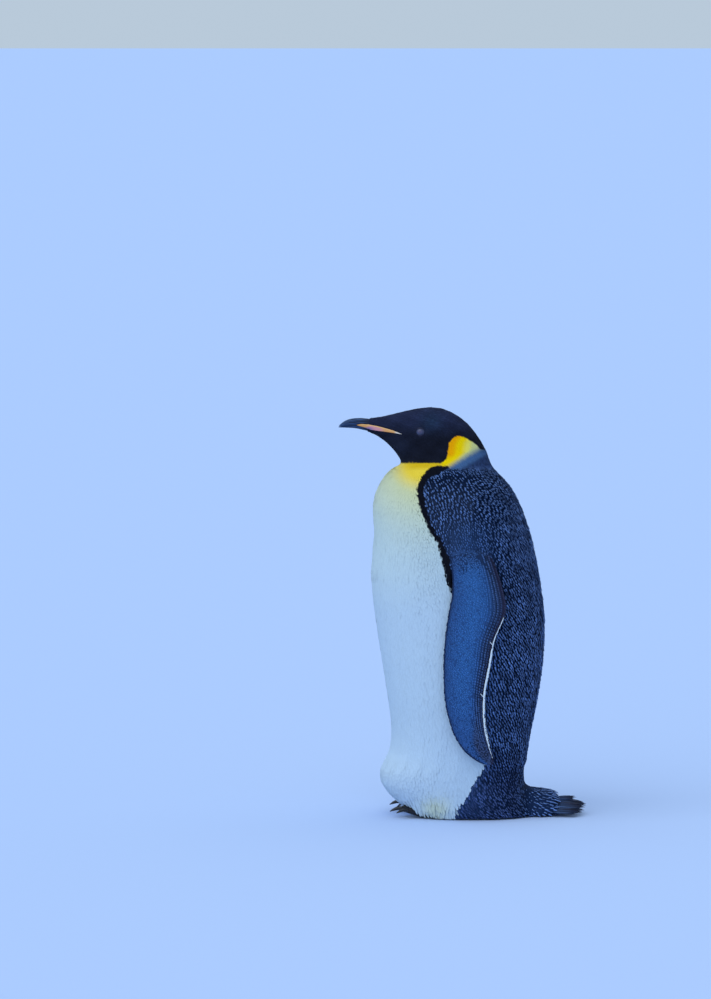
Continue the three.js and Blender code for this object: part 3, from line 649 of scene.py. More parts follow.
def blade_colours(way, share, face, chance):
    """Shown and hidden colour of the scale feathers."""
    height = curve_through(BLADE_STATIONS, way)[:, 1] * 1000
    cloud = np.sin(height / 23 + 2.2 * np.sin(share * 7)) * np.sin(height / 9 + share * 17)
    tone = ((0.86 + 0.28 * chance) * (1 + 0.10 * cloud))[:, None]
    # Painted sky sheen: the blue of the scales is partly painted reflection of the sky, lighter and bluer
    # down the middle of the blade.
    painted_sheen = np.exp(-((share - 0.45) / 0.28) ** 2) * step(140, 330, height)
    shown = blend((0.038, 0.112, 0.315), (0.048, 0.178, 0.475), painted_sheen) * tone
    shown = np.where((chance < 0.14)[:, None], shown * (0.62, 0.55, 0.60), shown)
    hidden = blend((0.022, 0.072, 0.215), (0.026, 0.098, 0.280), painted_sheen)

    # Towards the trailing edge the rows stand apart, and the last ones are plain and brownish.
    rear = step(0.64, 0.84, share + 0.34 * step(260, 150, height))
    trailing = blend((0.058, 0.114, 0.265), (0.054, 0.086, 0.190), step(235, 160, height))
    shown = blend(shown, trailing * tone, rear)
    hidden = blend(hidden, (0.007, 0.017, 0.050), rear)
    plain = step(0.885, 0.91, share)
    shown = blend(shown, np.asarray((0.030, 0.034, 0.080)) * tone, plain)
    hidden = blend(hidden, (0.014, 0.016, 0.040), plain)
    top = step(550, 615, height) * step(0.9, 0.7, share)
    shown = blend(shown, np.asarray((0.058, 0.120, 0.300)) * tone, top * 0.8)
    hidden = blend(hidden, (0.008, 0.022, 0.068), top)
    front = step(0.16, 0.0, share) * 0.55
    shown = blend(shown, (0.026, 0.050, 0.130), front)
    front = step(0.048, 0.012, share)
    shown = blend(shown, (0.013, 0.030, 0.088), front)
    hidden = blend(hidden, (0.010, 0.022, 0.070), front)
    speckled = (chance < step(545, 620, height) * 0.45) | (chance < step(210, 150, height) * 0.35)
    shown = np.where(speckled[:, None], shown * 0.35, shown)
    inner = blend((0.50, 0.60, 0.68), (0.022, 0.036, 0.070), np.clip(step(0.12, 0.04, share)
        + step(215, 165, height + 40 * (chance - 0.5)) + step(0.93, 0.99, share), 0, 1))
    shown = np.where(face[:, None] < 0, inner, shown)
    hidden = np.where(face[:, None] < 0, inner * 0.9, hidden)
    return shown, hidden


def ring_faces(rings, count, closed):
    """Faces between rings of count points each, with the first and last ring filled if closed."""
    faces = []
    for first in range(0, (rings - 1) * count, count):
        for i in range(count):
            a, b = first + i, first + (i + 1) % count
            faces.append((a, b, b + count, a + count))
    if closed:
        faces.append(tuple(range(count - 1, -1, -1)))
        faces.append(tuple(range((rings - 1) * count, rings * count)))
    return faces


def solid_mesh(name, points, faces):
    """A smooth mesh with its faces turned outwards."""
    mesh = bpy.data.meshes.new(name)
    mesh.from_pydata([tuple(point) for point in points], [], faces)
    whole = bmesh.new()
    whole.from_mesh(mesh)
    bmesh.ops.recalc_face_normals(whole, faces=whole.faces)
    for face in whole.faces:
        face.smooth = True
    whole.to_mesh(mesh)
    whole.free()
    return mesh


BLADE_RINGS, BLADE_ROUND = 110, 28
turn = np.arange(BLADE_ROUND) / BLADE_ROUND * 2 * math.pi
way = np.repeat(np.linspace(0.0, 1.0, BLADE_RINGS), BLADE_ROUND)
share = np.tile((1 - np.cos(turn)) / 2, BLADE_RINGS)
face = np.tile(np.where(np.arange(BLADE_ROUND) <= BLADE_ROUND // 2, 1.0, -1.0), BLADE_RINGS)
colour, hidden = blade_colours(way, share, face, np.full(len(way), 0.5))
whole_skin = bmesh.new()
whole_skin.from_mesh(skin.data)
blades = []
for name, tree, side in zip(FLIPPERS, flipper_trees, (-1, 1)):
    middle_y = blade_middle(tree, side)
    blades.append((name, side, middle_y))
    blade = solid_mesh("blade", blade_surface(middle_y, way, share, face, blade_inset(way)),
        ring_faces(BLADE_RINGS, BLADE_ROUND, True))
    store(blade, "tint", with_alpha(colour * 0.4 + hidden * 0.6))
    whole_skin.from_mesh(blade)
    bpy.data.meshes.remove(blade)


# ---- Contour feathers of the body: each a thin stiff vane on a shaft, dark where its neighbours cover it
# and coloured towards the tip. They are rooted in the skin and overlap like tiles down the lie of the coat.
def vane_mesh(name, stations, ridge, droop, arch):
    """A closed feather vane one unit long and wide, from its root at the origin along +X. Each station is
    (way along, half the width)."""
    points = [(0.0, 0.0, 0.0)]
    layout = [(0.0, 0.0)]
    for along, half in stations:
        crown = arch * math.sin(math.pi * along)
        points += [(along, -half, crown - droop), (along, 0.0, crown + ridge), (along, half, crown - droop),
            (along, 0.0, crown - droop * 0.4)]
        layout += [(along, -1.0), (along, 0.0), (along, 1.0), (along, 0.0)]
    points.append((1.0, 0.0, -droop))
    layout.append((1.0, 0.0))
    faces = [tuple(1 + corner for corner in face) for face in ring_faces(len(stations), 4, False)]
    end = len(points) - 1
    for i in range(4):
        faces.append((0, 1 + (i + 1) % 4, 1 + i))
        faces.append((end, end - 4 + i, end - 4 + (i + 1) % 4))
    mesh = solid_mesh(name, points, faces)
    whole = bmesh.new()
    whole.from_mesh(mesh)
    bmesh.ops.triangulate(whole, faces=whole.faces)
    rim = {v.index for v in whole.verts if abs(layout[v.index][1]) == 1.0 or v.index in (0, end)}
    for edge in whole.edges:
        edge.smooth = not all(v.index in rim for v in edge.verts)
    whole.to_mesh(mesh)
    whole.free()
    store(mesh, "vane", layout)
    return mesh


BAKE_PATCH = 0.003


def coat_tree(scatter):
    """Geometry Nodes that lay one vane at each root. Roots are scattered over the skin, or are the
    points of the mesh itself."""
    tree = bpy.data.node_groups.new("coat_scattered" if scatter else "coat_in_rows", "GeometryNodeTree")
    face = tree.interface
    face.new_socket("Geometry", in_out="OUTPUT", socket_type="NodeSocketGeometry")
    for label, kind in (("Geometry", "Geometry"), ("Vane", "Object"), ("Material", "Material"),
            ("Spacing", "Float"), ("Region", "Int"), ("Seed", "Int"), ("Sway", "Float"), ("Roll", "Float"),
            ("Unevenness", "Float")):
        face.new_socket(label, in_out="INPUT", socket_type=f"NodeSocket{kind}")
    given = add_node(tree, "NodeGroupInput").outputs

    def named(name, kind="FLOAT"):
        node = add_node(tree, "GeometryNodeInputNamedAttribute", {"Name": name}, data_type=kind)
        return node.outputs["Attribute"]

    def chance(low, high, offset):
        seed = maths(tree, "ADD", given["Seed"], offset)
        node = add_node(tree, "FunctionNodeRandomValue", {2: low, 3: high, "Seed": seed}, data_type="FLOAT")
        return node.outputs[1]

    def vector(**parts):
        return add_node(tree, "ShaderNodeCombineXYZ", parts).outputs["Vector"]

    def scaled_sum(one, scale, other):
        node = add_node(tree, "ShaderNodeVectorMath", {0: one, 1: scale, 2: other}, operation="MULTIPLY_ADD")
        return node.outputs["Vector"]

    def keep(geometry, name, kind, domain, value):
        node = add_node(tree, "GeometryNodeStoreNamedAttribute", {"Geometry": geometry, "Name": name,
            "Value": value}, data_type=kind, domain=domain)
        return node.outputs["Geometry"]

    if scatter:
        here = add_node(tree, "FunctionNodeCompare", {2: named("region", "INT"), 3: given["Region"]},
            data_type="INT", operation="EQUAL")
        room = maths(tree, "MULTIPLY", given["Spacing"], given["Spacing"])
        roots = add_node(tree, "GeometryNodeDistributePointsOnFaces", distribute_method="POISSON", inputs={
            "Mesh": given["Geometry"], "Selection": here.outputs["Result"], "Distance Min": given["Spacing"],
            "Density Max": maths(tree, "DIVIDE", 1.6, room), "Density Factor": named("feathered"),
            "Seed": given["Seed"]})
        points, normal = roots.outputs["Points"], roots.outputs["Normal"]
    else:
        points, normal = given["Geometry"], named("facing", "FLOAT_VECTOR")

    aim = add_node(tree, "FunctionNodeAxesToRotation", {"Primary Axis": normal,
        "Secondary Axis": named("lie", "FLOAT_VECTOR")}, primary_axis="Z", secondary_axis="X")
    sway, roll, uneven = given["Sway"], given["Roll"], given["Unevenness"]
    lean = vector(X=chance(maths(tree, "MULTIPLY", roll, -1.0), roll, 11),
        Y=maths(tree, "MULTIPLY", named("lift"), chance(-1.5, -0.5, 12)),
        Z=chance(maths(tree, "MULTIPLY", sway, -1.0), sway, 13))
    to_rotation = add_node(tree, "FunctionNodeEulerToRotation", {"Euler": lean})
    turned = add_node(tree, "FunctionNodeRotateRotation", {"Rotation": aim.outputs["Rotation"],
        "Rotate By": to_rotation.outputs["Rotation"]}, rotation_space="LOCAL")
    size = chance(maths(tree, "SUBTRACT", 1.0, uneven), maths(tree, "ADD", 1.0, uneven), 14)
    scale = vector(X=maths(tree, "MULTIPLY", named("long"), size),
        Y=maths(tree, "MULTIPLY", named("wide"), size), Z=named("thick"))
    vane = add_node(tree, "GeometryNodeObjectInfo", {"Object": given["Vane"]})
    laid = add_node(tree, "GeometryNodeInstanceOnPoints", {"Points": points, "Scale": scale,
        "Instance": vane.outputs["Geometry"], "Rotation": turned.outputs["Rotation"]})

    # Each feather keeps the place it shows at, a number of its own and the facing of the body under it.
    shown_at = scaled_sum(named("lie", "FLOAT_VECTOR"), maths(tree, "MULTIPLY", named("long"), 0.7),
        add_node(tree, "GeometryNodeInputPosition").outputs["Position"])
    rooted = keep(laid.outputs["Instances"], "shown_at", "FLOAT_VECTOR", "INSTANCE", shown_at)
    rooted = keep(rooted, "chance", "FLOAT", "INSTANCE", chance(0.0, 1.0, 15))
    rooted = keep(rooted, "outward", "FLOAT_VECTOR", "INSTANCE", normal)
    real = add_node(tree, "GeometryNodeRealizeInstances", {"Geometry": rooted})

    # The bake map: a small patch for each feather, at its root's place on the unwrapped skin.
    root_place = add_node(tree, "ShaderNodeSeparateXYZ", {"Vector": named("unwrap", "FLOAT_VECTOR")})
    within = {way: maths(tree, "MULTIPLY_ADD", maths(tree, "FRACT", root_place.outputs[way]),
        1 - 4 * BAKE_PATCH, 2 * BAKE_PATCH) for way in ("X", "Y")}
    patch = scaled_sum(named("vane", "FLOAT_VECTOR"), (BAKE_PATCH, BAKE_PATCH / 2, 0.0), vector(**within))
    baked = keep(real.outputs["Geometry"], "OFBake", "FLOAT2", "CORNER", patch)
    dressed = add_node(tree, "GeometryNodeSetMaterial", {"Geometry": baked, "Material": given["Material"]})
    add_node(tree, "NodeGroupOutput", {"Geometry": dressed.outputs["Geometry"]})
    return tree


def mixed_colour(tree, way, factor, one, other):
    node = add_node(tree, "ShaderNodeMix", data_type="RGBA", blend_type=way,
        inputs={"Factor": factor, 6: one, 7: other})
    return node.outputs[2]


def plumage_material(name, roughness, specular):
    """Vanes take their hidden and their shown colour from the feather, with barbs as fine ridges."""
    material, tree, shader = new_material(name, roughness, specular)
    parts = add_node(tree, "ShaderNodeSeparateXYZ", {"Vector": attribute(tree, "vane", "Vector")})

    def ramp(value, low, high, start, end):
        node = add_node(tree, "ShaderNodeMapRange", {"Value": value, "From Min": low, "From Max": high,
            "To Min": start, "To Max": end}, interpolation_type="SMOOTHSTEP")
        return node.outputs["Result"]

    along, across = parts.outputs["X"], maths(tree, "ABSOLUTE", parts.outputs["Y"])
    shown = maths(tree, "MULTIPLY", ramp(along, 0.40, 0.60, 0.0, 1.0), ramp(across, 0.38, 0.80, 1.0, 0.0))
    colour = mixed_colour(tree, "MIX", shown, attribute(tree, "under"), attribute(tree, "tint"))
    feed(tree, shader.inputs["Base Color"], colour)
    slanted = maths(tree, "SUBTRACT", along, maths(tree, "MULTIPLY", across, 0.35))
    barbs = maths(tree, "SINE", maths(tree, "MULTIPLY", slanted, 95.0))
    add_relief(tree, shader, barbs, 0.35, 0.0003)
    return material


def lay_coat(name, source, tree, values):
    """A coat piece grown on a source mesh, with the tree's named inputs set by their identifiers."""
    coat = new_object(name, source)
    grown = coat.modifiers.new("coat", "NODES")
    grown.node_group = tree
    for item in tree.interface.items_tree:
        if item.item_type == "SOCKET" and item.in_out == "INPUT" and item.name in values:
            grown[item.identifier] = values[item.name]
    return apply_modifiers(coat)


def read(mesh, name, width=1):
    layer = mesh.attributes[name]
    kind = np.int32 if layer.data_type == "INT" else np.float32
    return listed(layer.data, "value" if width == 1 else "vector", width, kind)


def colour_coat(coat, tips, hidden, sleek):
    """Stores each feather's two colours, presses what would be under the floor flat on it, and drops what
    only the laying needed. sleek is how far the vanes are shaded as one sleek surface, from 0 to 1."""
    mesh = coat.data
    own = normals_of(mesh)
    outward = unit(read(mesh, "outward", 3))
    upper = (own * outward).sum(axis=1, keepdims=True) > -0.2
    shading = np.where(upper, own * (1 - sleek) + outward * sleek, own)
    spots = points_of(mesh)
    height = spots[:, 2]
    spots[:, 2] = np.where(height < 0.003, 0.0005 + 0.0025 * np.exp((height - 0.003) / 0.004), height)
    move_points(mesh, spots)
    mesh.normals_split_custom_set_from_vertices(shading.tolist())
    store(mesh, "tint", with_alpha(tips))
    store(mesh, "under", with_alpha(hidden))
    for used in ("shown_at", "chance", "lie", "long", "wide", "thick", "lift", "feathered", "region",
            "unwrap", "facing", "outward", "number"):
        layer = mesh.attributes.get(used)
        if layer:
            mesh.attributes.remove(layer)


contour_vane = bpy.data.objects.new("contour_vane", vane_mesh("contour_vane",
    [(0.24, 0.36), (0.58, 0.5), (0.86, 0.36)], 0.07, 0.06, 0.08))
plain_plumage = plumage_material("plain_plumage", 0.70, 0.03)
back_plumage = plumage_material("back_plumage", 0.50, 0.03)
scattered = coat_tree(True)
COATS = [
    # region, spacing m, slot, material, sway, roll, unevenness, share of markings across feathers, sleekness
    ("head", 0.0024, "black_plumage", plain_plumage, 0.10, 0.03, 0.12, 0.8, 0.6),
    ("collar", 0.0034, "neck_plumage", plain_plumage, 0.10, 0.04, 0.12, 0.6, 0.8),
    ("breast", 0.0044, "body_plumage", plain_plumage, 0.07, 0.01, 0.12, 0.0, 0.95),
    ("belly", 0.0047, "body_plumage", plain_plumage, 0.07, 0.01, 0.12, 0.0, 0.92),
    ("nape", 0.0038, "back_plumage", back_plumage, 0.12, 0.10, 0.14, 0.0, 0.3),
    ("wing_fold", 0.0037, "back_plumage", back_plumage, 0.12, 0.10, 0.14, 0.0, 0.3),
    ("seat", 0.0045, "back_plumage", back_plumage, 0.12, 0.10, 0.14, 0.0, 0.3),
    ("tail", 0.0050, "back_plumage", back_plumage, 0.10, 0.10, 0.14, 0.0, 0.3),
]
for where, spacing, slot, material, sway, roll, uneven, across, sleek in COATS:
    number = REGIONS.index(where)
    coat = lay_coat(f"coat_{where}", skin.data.copy(), scattered, {"Vane": contour_vane, "Material": material,
        "Spacing": spacing, "Region": number, "Seed": 20 + number, "Sway": sway, "Roll": roll,
        "Unevenness": uneven})
    marked_at = read(coat.data, "shown_at", 3) * (1 - across) + points_of(coat.data) * across
    tips, hidden = markings_and_painted_light(marked_at, read(coat.data, "chance"))
    colour_coat(coat, tips, hidden, sleek)
    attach(coat, "root")


# ---- Coat of the back: contour feathers in staggered rows round the body, a little wavy where the bird has
# ruffled them. Their slate tips lie apart, so that the dark bases show between them.
LINE_PITCH = 0.0070
RING_STEP = 0.004
BACK_LOW, BACK_HIGH = 0.08, 0.80
# name, lowest and highest root, and how far apart the feathers of a row are, in metres
STRETCHES = (("low_back", 0.085, 0.34, 0.0068), ("back", 0.34, 0.58, 0.0066), ("mantle", 0.58, 0.785, 0.0056))


def points_mesh(name, spot, unwrap, **given):
    """Bare points for feathers to be laid at, with what the laying needs to know at each."""
    mesh = bpy.data.meshes.new(name)
    mesh.from_pydata(spot.tolist(), [], [])
    store(mesh, "unwrap", unwrap)
    for label, values in given.items():
        store(mesh, label, values)
    return mesh


def back_roots(low, high, apart, rings, generator):
    """Places and facings of feathers in slanting wavy lines down the back, between two heights. The lines
    run from the sides towards the middle of the back as they go down."""
    places, facings = [], []
    for side in (-1, 1):
        for line in range(-90, 60):
            height = np.arange(low, high, apart) + generator.uniform(0, apart)
            slant = np.interp(height, (0.08, 0.58, 0.80), (0.0, 0.31, 0.53))
            wave = 0.0013 * np.sin(2 * math.pi * height / 0.019 + 0.45 * line)
            wave += 0.0022 * np.sin(2 * math.pi * height / 0.061 + 0.21 * line)
            along = line * LINE_PITCH + slant + wave + generator.uniform(-0.0007, 0.0007, len(height))
            for z, reach in zip(height, along):
                arc, ring = rings[min(int((z - BACK_LOW) / RING_STEP), len(rings) - 1)]
                if not 0 < reach < arc[-1]:
                    continue
                x, y = np.interp(reach, arc, ring[:, 0]), np.interp(reach, arc, ring[:, 1])
                place, facing, face, _ = skin_tree.find_nearest(Vector((x, side * y, z)))
                if REGIONS[region[face]] == "in_rows" and bare[skin_corner[face]] < 0.5:
                    places.append(place)
                    facings.append(facing)
    return np.array(places), np.array(facings)


rings = []
for height in np.arange(BACK_LOW, BACK_HIGH, RING_STEP):
    middle = Vector((-0.02, 0.0, height))
    ring = np.array([skin_tree.ray_cast(middle, Vector((math.cos(turn), math.sin(turn), 0.0)))[0]
        for turn in np.linspace(0.0, 2.6, 209)])
    arc = np.concatenate([[0.0], np.cumsum(np.linalg.norm(np.diff(ring, axis=0), axis=1))])
    rings.append((arc, ring))

rows_tree = coat_tree(False)
generator = np.random.default_rng(3)
for where, low, high, apart in STRETCHES:
    spot, facing = back_roots(low, high, apart, rings, generator)
    lie, sizes = lie_of_plumage(spot)
    source = points_mesh(where, spot, unwrap_round(spot, SPINE), facing=facing, lie=lay_flat(lie, facing),
        long=sizes[:, 0], wide=sizes[:, 1], thick=sizes[:, 1], lift=sizes[:, 2])
    coat = lay_coat(f"coat_{where}", source, rows_tree, {"Vane": contour_vane, "Material": back_plumage,
        "Seed": 40, "Sway": 0.10, "Roll": 0.12, "Unevenness": 0.14})
    tips, hidden = markings_and_painted_light(read(coat.data, "shown_at", 3), read(coat.data, "chance"))
    colour_coat(coat, tips, hidden, 0.0)
    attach(coat, "root")


# ---- Scale feathers of the flippers: short, stiff and tight, in rows that run down the blade and step back
# towards its trailing edge, where the last rows are larger and browner and a white fringe shows.
BLADE_LONG, BLADE_WIDE = 0.545, 0.105
FRINGE_WAYS = (0.350, 0.890)
FRINGE_SHARE = 0.985
STRAY_BARBS = (0.436, 0.602)


def blade_roots(side, middle_y, face, generator):
    """The scale feathers on one face of a flipper. Each row has a feather's way down the blade, share
    across it, face, place, facing, lie, length, width and lift."""
    rows = []
    share, row = 0.012, 0
    while share < FRINGE_SHARE:
        rear = float(step(0.58, 0.72, share)) if face > 0 else 0.0
        loose = 1 - rear
        count = int(BLADE_LONG / (0.0042 + 0.0002 * rear))
        jitter = generator.uniform(-0.35, 0.35, count) * loose
        way = (np.arange(count) + (row % 2) / 2 + 0.25 + jitter) / count
        way = way[(way > 0.070 + 0.045 * generator.uniform(0, 1, len(way))) & (way < 0.992)]
        across = share + generator.uniform(-0.014, 0.014, len(way)) * loose
        same = np.ones(len(way))
        rows.append((way, across, same * (0.0066 + 0.0024 * rear), same * (0.0043 + 0.0021 * rear),
            same * math.radians(5 + 2 * rear)))
        share += (0.0032 + 0.0034 * rear) / BLADE_WIDE
        row += 1
    way, share, long, wide, lift = (np.concatenate(parts) for parts in zip(*rows))
    share = np.clip(share, 0.004, 0.992)
    faces = np.full(len(way), face)

    def spots(way, share):
        return blade_surface(middle_y, np.clip(way, 0, 1), np.clip(share, 0, 1), faces, inset)

    inset = blade_inset(way)
    down_way = unit(spots(way + 0.01, share) - spots(way - 0.01, share))
    back_way = unit(spots(way, share + 0.02) - spots(way, share - 0.02))
    facing = unit(np.cross(down_way, back_way))
    facing *= (np.sign(facing[:, 1]) * face * side)[:, None]
    lie = down_way + back_way * (0.10 + 0.35 * share)[:, None]
    return np.column_stack([way, share, faces, spots(way, share), facing, lie, long, wide, lift])


def fringe_roots(side, middle_y):
    """The white feathers along the trailing edge, in rows as blade_roots gives them. Two barbs are stray."""
    way = np.arange(*FRINGE_WAYS, 0.0055)
    one = np.ones(len(way))
    spot, ahead = (blade_surface(middle_y, way + on, FRINGE_SHARE * one, one, 0 * one) for on in (0, 0.012))
    lie = unit(ahead - spot)
    narrow = np.clip(np.minimum(way - FRINGE_WAYS[0], FRINGE_WAYS[1] - way) / 0.12, 0.35, 1)
    stray = np.searchsorted(way, STRAY_BARBS)
    lie[stray] = (-0.8, 0.0, 0.7)
    narrow[stray] = 0.35
    facing = one[:, None] * (0.45, side * 0.9, 0.0)
    return np.column_stack([way, FRINGE_SHARE * one, one, spot, facing, lie, 0.013 * one, 0.0056 * narrow,
        math.radians(4) * one])


scale_vane = bpy.data.objects.new("scale_vane", vane_mesh("scale_vane", [(0.35, 0.46), (0.8, 0.42)],
    0.05, 0.05, 0.02))
scale_plumage = plumage_material("scale_plumage", 0.48, 0.10)
generator = np.random.default_rng(7)
for name, side, middle_y in blades:
    scales = [blade_roots(side, middle_y, face, generator) for face in (1.0, -1.0)]
    fringe = fringe_roots(side, middle_y)
    roots = np.vstack([*scales, fringe])
    way, share, face = roots[:, :3].T
    long, wide, lift = roots[:, 12:].T
    unwrap = np.column_stack([0.02 + 0.46 * share + np.where(face < 0, 0.5, 0), 0.02 + 0.95 * way])
    source = points_mesh(name, roots[:, 3:6], unwrap, facing=roots[:, 6:9], lie=roots[:, 9:12], long=long,
        wide=wide, thick=wide, lift=lift, number=np.arange(len(way)))
    coat = lay_coat(f"coat_{name}", source, rows_tree, {"Vane": scale_vane, "Material": scale_plumage,
        "Seed": 60 + side, "Sway": 0.07, "Roll": 0.07, "Unevenness": 0.10})
    which = read(coat.data, "number")
    tips, hidden = blade_colours(way[which], share[which], face[which], read(coat.data, "chance"))
    white = which >= len(roots) - len(fringe)
    tips[white] = (0.78, 0.88, 0.95)
    hidden[white] = (0.74, 0.84, 0.92)
    colour_coat(coat, tips, hidden, 0.4)
    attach(coat, "root")

whole_skin.to_mesh(skin.data)
whole_skin.free()
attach(skin, "root")
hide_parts(*FLESH, *FLIPPERS)


# ---- Bill: a slender, slightly hooked upper and lower bill of black horn over bone. Its root is in the
# feathers of the face, and a groove runs from the nostril along each side of the upper bill.
BILL_GROOVE = [(-0.256, 0.8885), (-0.240, 0.8900), (-0.222, 0.8905), (-0.206, 0.8890)]
GROOVE_WIDE, GROOVE_DEEP = 0.0009, 0.0011
BILL_ROOT, BILL_DRAWN_OUT = -0.222, 0.014


def near_line(places, line):
    """Distance from each place, seen from the side, to a line of (x, z) points."""
    best = np.full(len(places), np.inf)
    flat = places[:, [0, 2]]
    for a, b in zip(np.array(line[:-1]), np.array(line[1:])):
        share = np.clip(((flat - a) @ (b - a)) / ((b - a) @ (b - a)), 0, 1)
        best = np.minimum(best, np.linalg.norm(flat - a - share[:, None] * (b - a), axis=1))
    return best


def fine_copy(name, node, grain, rounds, lengthen=0.0, behind=0.0):
    """A smooth closed copy of a CAD node. What lies behind a plane can be drawn out further back."""
    whole = clean_copy([node])
    for vertex in whole.verts:
        if vertex.co.x > behind and lengthen:
            vertex.co.x += lengthen
            vertex.co.z -= lengthen * 0.12
    return smooth_skin(new_object(name, mesh_of(name, whole)), grain, rounds)


def vary_roughness(tree, shader, value, low, high):
    spread = add_node(tree, "ShaderNodeMapRange", {"Value": value, "To Min": low, "To Max": high})
    feed(tree, shader.inputs["Roughness"], spread.outputs["Result"])


def horn_material(name, roughness, specular, coat, line_scale, line_depth):
    """Horn: colour from the piece's tint, which holds its markings and, on the bill, painted sheen, highlight
    and shade, with fine growth lines.
    """
    material, tree, shader = new_material(name, roughness, specular)
    shader.inputs["Coat Roughness"].default_value = 0.25
    shader.inputs["Coat Weight"].default_value = coat
    stretch = add_node(tree, "ShaderNodeMapping", {"Scale": (0.16, 1.0, 1.0), "Vector": on_piece(tree)})
    noise = add_node(tree, "ShaderNodeTexNoise", {"Scale": line_scale, "Detail": 4.0,
        "Vector": stretch.outputs["Vector"]})
    lines = noise.outputs["Fac"]
    colour = mixed_colour(tree, "MULTIPLY", 0.35, attribute(tree, "tint"), lines)
    feed(tree, shader.inputs["Base Color"], colour)
    vary_roughness(tree, shader, lines, roughness - 0.08, roughness + 0.12)
    add_relief(tree, shader, lines, 0.5, line_depth)
    return material


bill_horn = horn_material("bill_horn", 0.50, 0.18, 0.0, 900.0, 0.0002)
for node in ("bill_upper", "bill_lower"):
    horn = fine_copy(f"{node}_horn", node, 0.00085, 10, BILL_DRAWN_OUT, BILL_ROOT)
    spots = points_of(horn.data)
    away = normals_of(horn.data)
    if node == "bill_upper":
        groove = np.exp(-(near_line(spots, BILL_GROOVE) / GROOVE_WIDE) ** 2)
        groove *= step(0.003, 0.005, np.abs(spots[:, 1]))
        spots -= away * (groove * GROOVE_DEEP)[:, None]
        move_points(horn.data, spots)
    x, z, upwards = spots[:, 0], spots[:, 2], away[:, 2]
    # Painted sky sheen on the black horn: its blue is lighter at the tip, with a painted highlight along the
    # upper sides, and it is darker where the surface faces straight up.
    colour = blend((0.0180, 0.0460, 0.1250), (0.034, 0.086, 0.210), step(-0.262, -0.281, x))
    colour = blend(colour, (0.034, 0.070, 0.155), step(0.1, 0.6, upwards) * step(0.95, 0.75, upwards) * 0.8)
    colour = blend(colour, (0.006, 0.022, 0.070), step(0.85, 0.97, upwards) * 0.8)
    grain = np.sin(z / 0.00095 + 1.8 * np.sin(x / 0.013)) * np.sin(x / 0.021)
    colour = colour * (1 + 0.50 * grain)[:, None]
    colour = blend(colour, (0.0095, 0.0180, 0.0500), step(-0.236, -0.210, x))
    if node == "bill_upper":
        # Painted shade in the nostril groove.
        colour = blend(colour, (0.003, 0.006, 0.016), groove * 0.9)
    store(horn.data, "tint", with_alpha(colour))
    horn.data.materials.append(bill_horn)
    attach(horn, "root")
    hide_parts(node)


# ---- Bill plates: a long smooth plate of coloured horn along each side of the lower bill, orange at its
# ends and lilac between, narrowing to a pale point at the corner of the mouth.
PLATE_TOP_X = (-240, -228, -206, -184.5, -160, -139)
PLATE_TOP_Z = (883, 885.4, 883.6, 879, 872, 864.5)
plate_horn = horn_material("plate_horn", 0.30, 0.5, 0.3, 700.0, 0.0001)
for node in ("bill_plate_left", "bill_plate_right"):
    plate = fine_copy(f"{node}_horn", node, 0.0007, 6)
    x, _, z = (points_of(plate.data) * 1000).T
    under_top = np.interp(x, PLATE_TOP_X, PLATE_TOP_Z) - z
    colour = blend((0.86, 0.38, 0.08), (0.78, 0.32, 0.33), step(-219, -205, x))
    colour = blend(colour, (0.30, 0.17, 0.38), np.exp(-((x + 212) / 10) ** 2) * step(4, 8, under_top))
    colour = blend(colour, (0.88, 0.39, 0.10), step(-192, -172, x))
    colour = blend(colour, (0.90, 0.48, 0.16), step(3.2, 1.6, under_top) * step(-236, -222, x))
    colour = blend(colour, (0.86, 0.76, 0.66), step(-157, -148, x))
    store(plate.data, "tint", with_alpha(colour))
    plate.data.materials.append(plate_horn)
    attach(plate, "root")
    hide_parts(node)


# ---- Eyes: a dark glossy ball in each side of the head, with a grey brown iris, between two short
# feathered lids of bare dark skin that meet in a corner behind.
EYE_RADIUS = 0.011
IRIS_WIDE, IRIS_HIGH, IRIS_LOW = 0.0140, 0.0092, 0.0008
BALL_RINGS, BALL_ROUND = 30, 48
LID_RADIUS, LID_OUTER = 0.01175, 0.0150
LID_ROUND = 64
LID_SHARES = (-0.06, 0.0, 0.04, 0.09, 0.16, 0.26, 0.40, 0.58, 0.78, 1.0)
LID_SKIN = np.array((0.0070, 0.0080, 0.0160))
LID_PALE = np.array((0.034, 0.044, 0.100))
UPPER_LIP = np.array((0.026, 0.020, 0.045))
LOWER_LIP = np.array((0.050, 0.036, 0.070))


def colour_ramp(tree, value, first, last, *between):
    """Colours along a value, each given with its place from 0 to 1."""
    node = add_node(tree, "ShaderNodeValToRGB", {"Fac": value})
    stops = node.color_ramp.elements
    for stop, (place, colour) in zip(stops, (first, last)):
        stop.position = place
        stop.color = (*colour, 1)
    for place, colour in between:
        stops.new(place).color = (*colour, 1)
    return node.outputs["Color"]


def eye_material():
    """Rings of the iris from its middle outwards, with fine threads, under a clear wet coat."""
    material, tree, shader = new_material("eye", 0.32, 0.35)
    shader.inputs["Coat Weight"].default_value = 0.15
    shader.inputs["Coat Roughness"].default_value = 0.15
    rings = colour_ramp(tree, attribute(tree, "gaze", "Fac"), (0.0, (0.004, 0.004, 0.008)),
        (1.0, (0.010, 0.010, 0.018)), (0.09, (0.034, 0.031, 0.075)), (0.18, (0.066, 0.058, 0.130)),
        (0.40, (0.046, 0.050, 0.112)), (0.62, (0.025, 0.035, 0.085)), (0.84, (0.014, 0.020, 0.052)))
    threads = add_node(tree, "ShaderNodeTexNoise", {"Scale": 1400.0, "Vector": on_piece(tree)})
    colour = mixed_colour(tree, "OVERLAY", 0.4, rings, threads.outputs["Fac"])
    feed(tree, shader.inputs["Base Color"], colour)
    return material


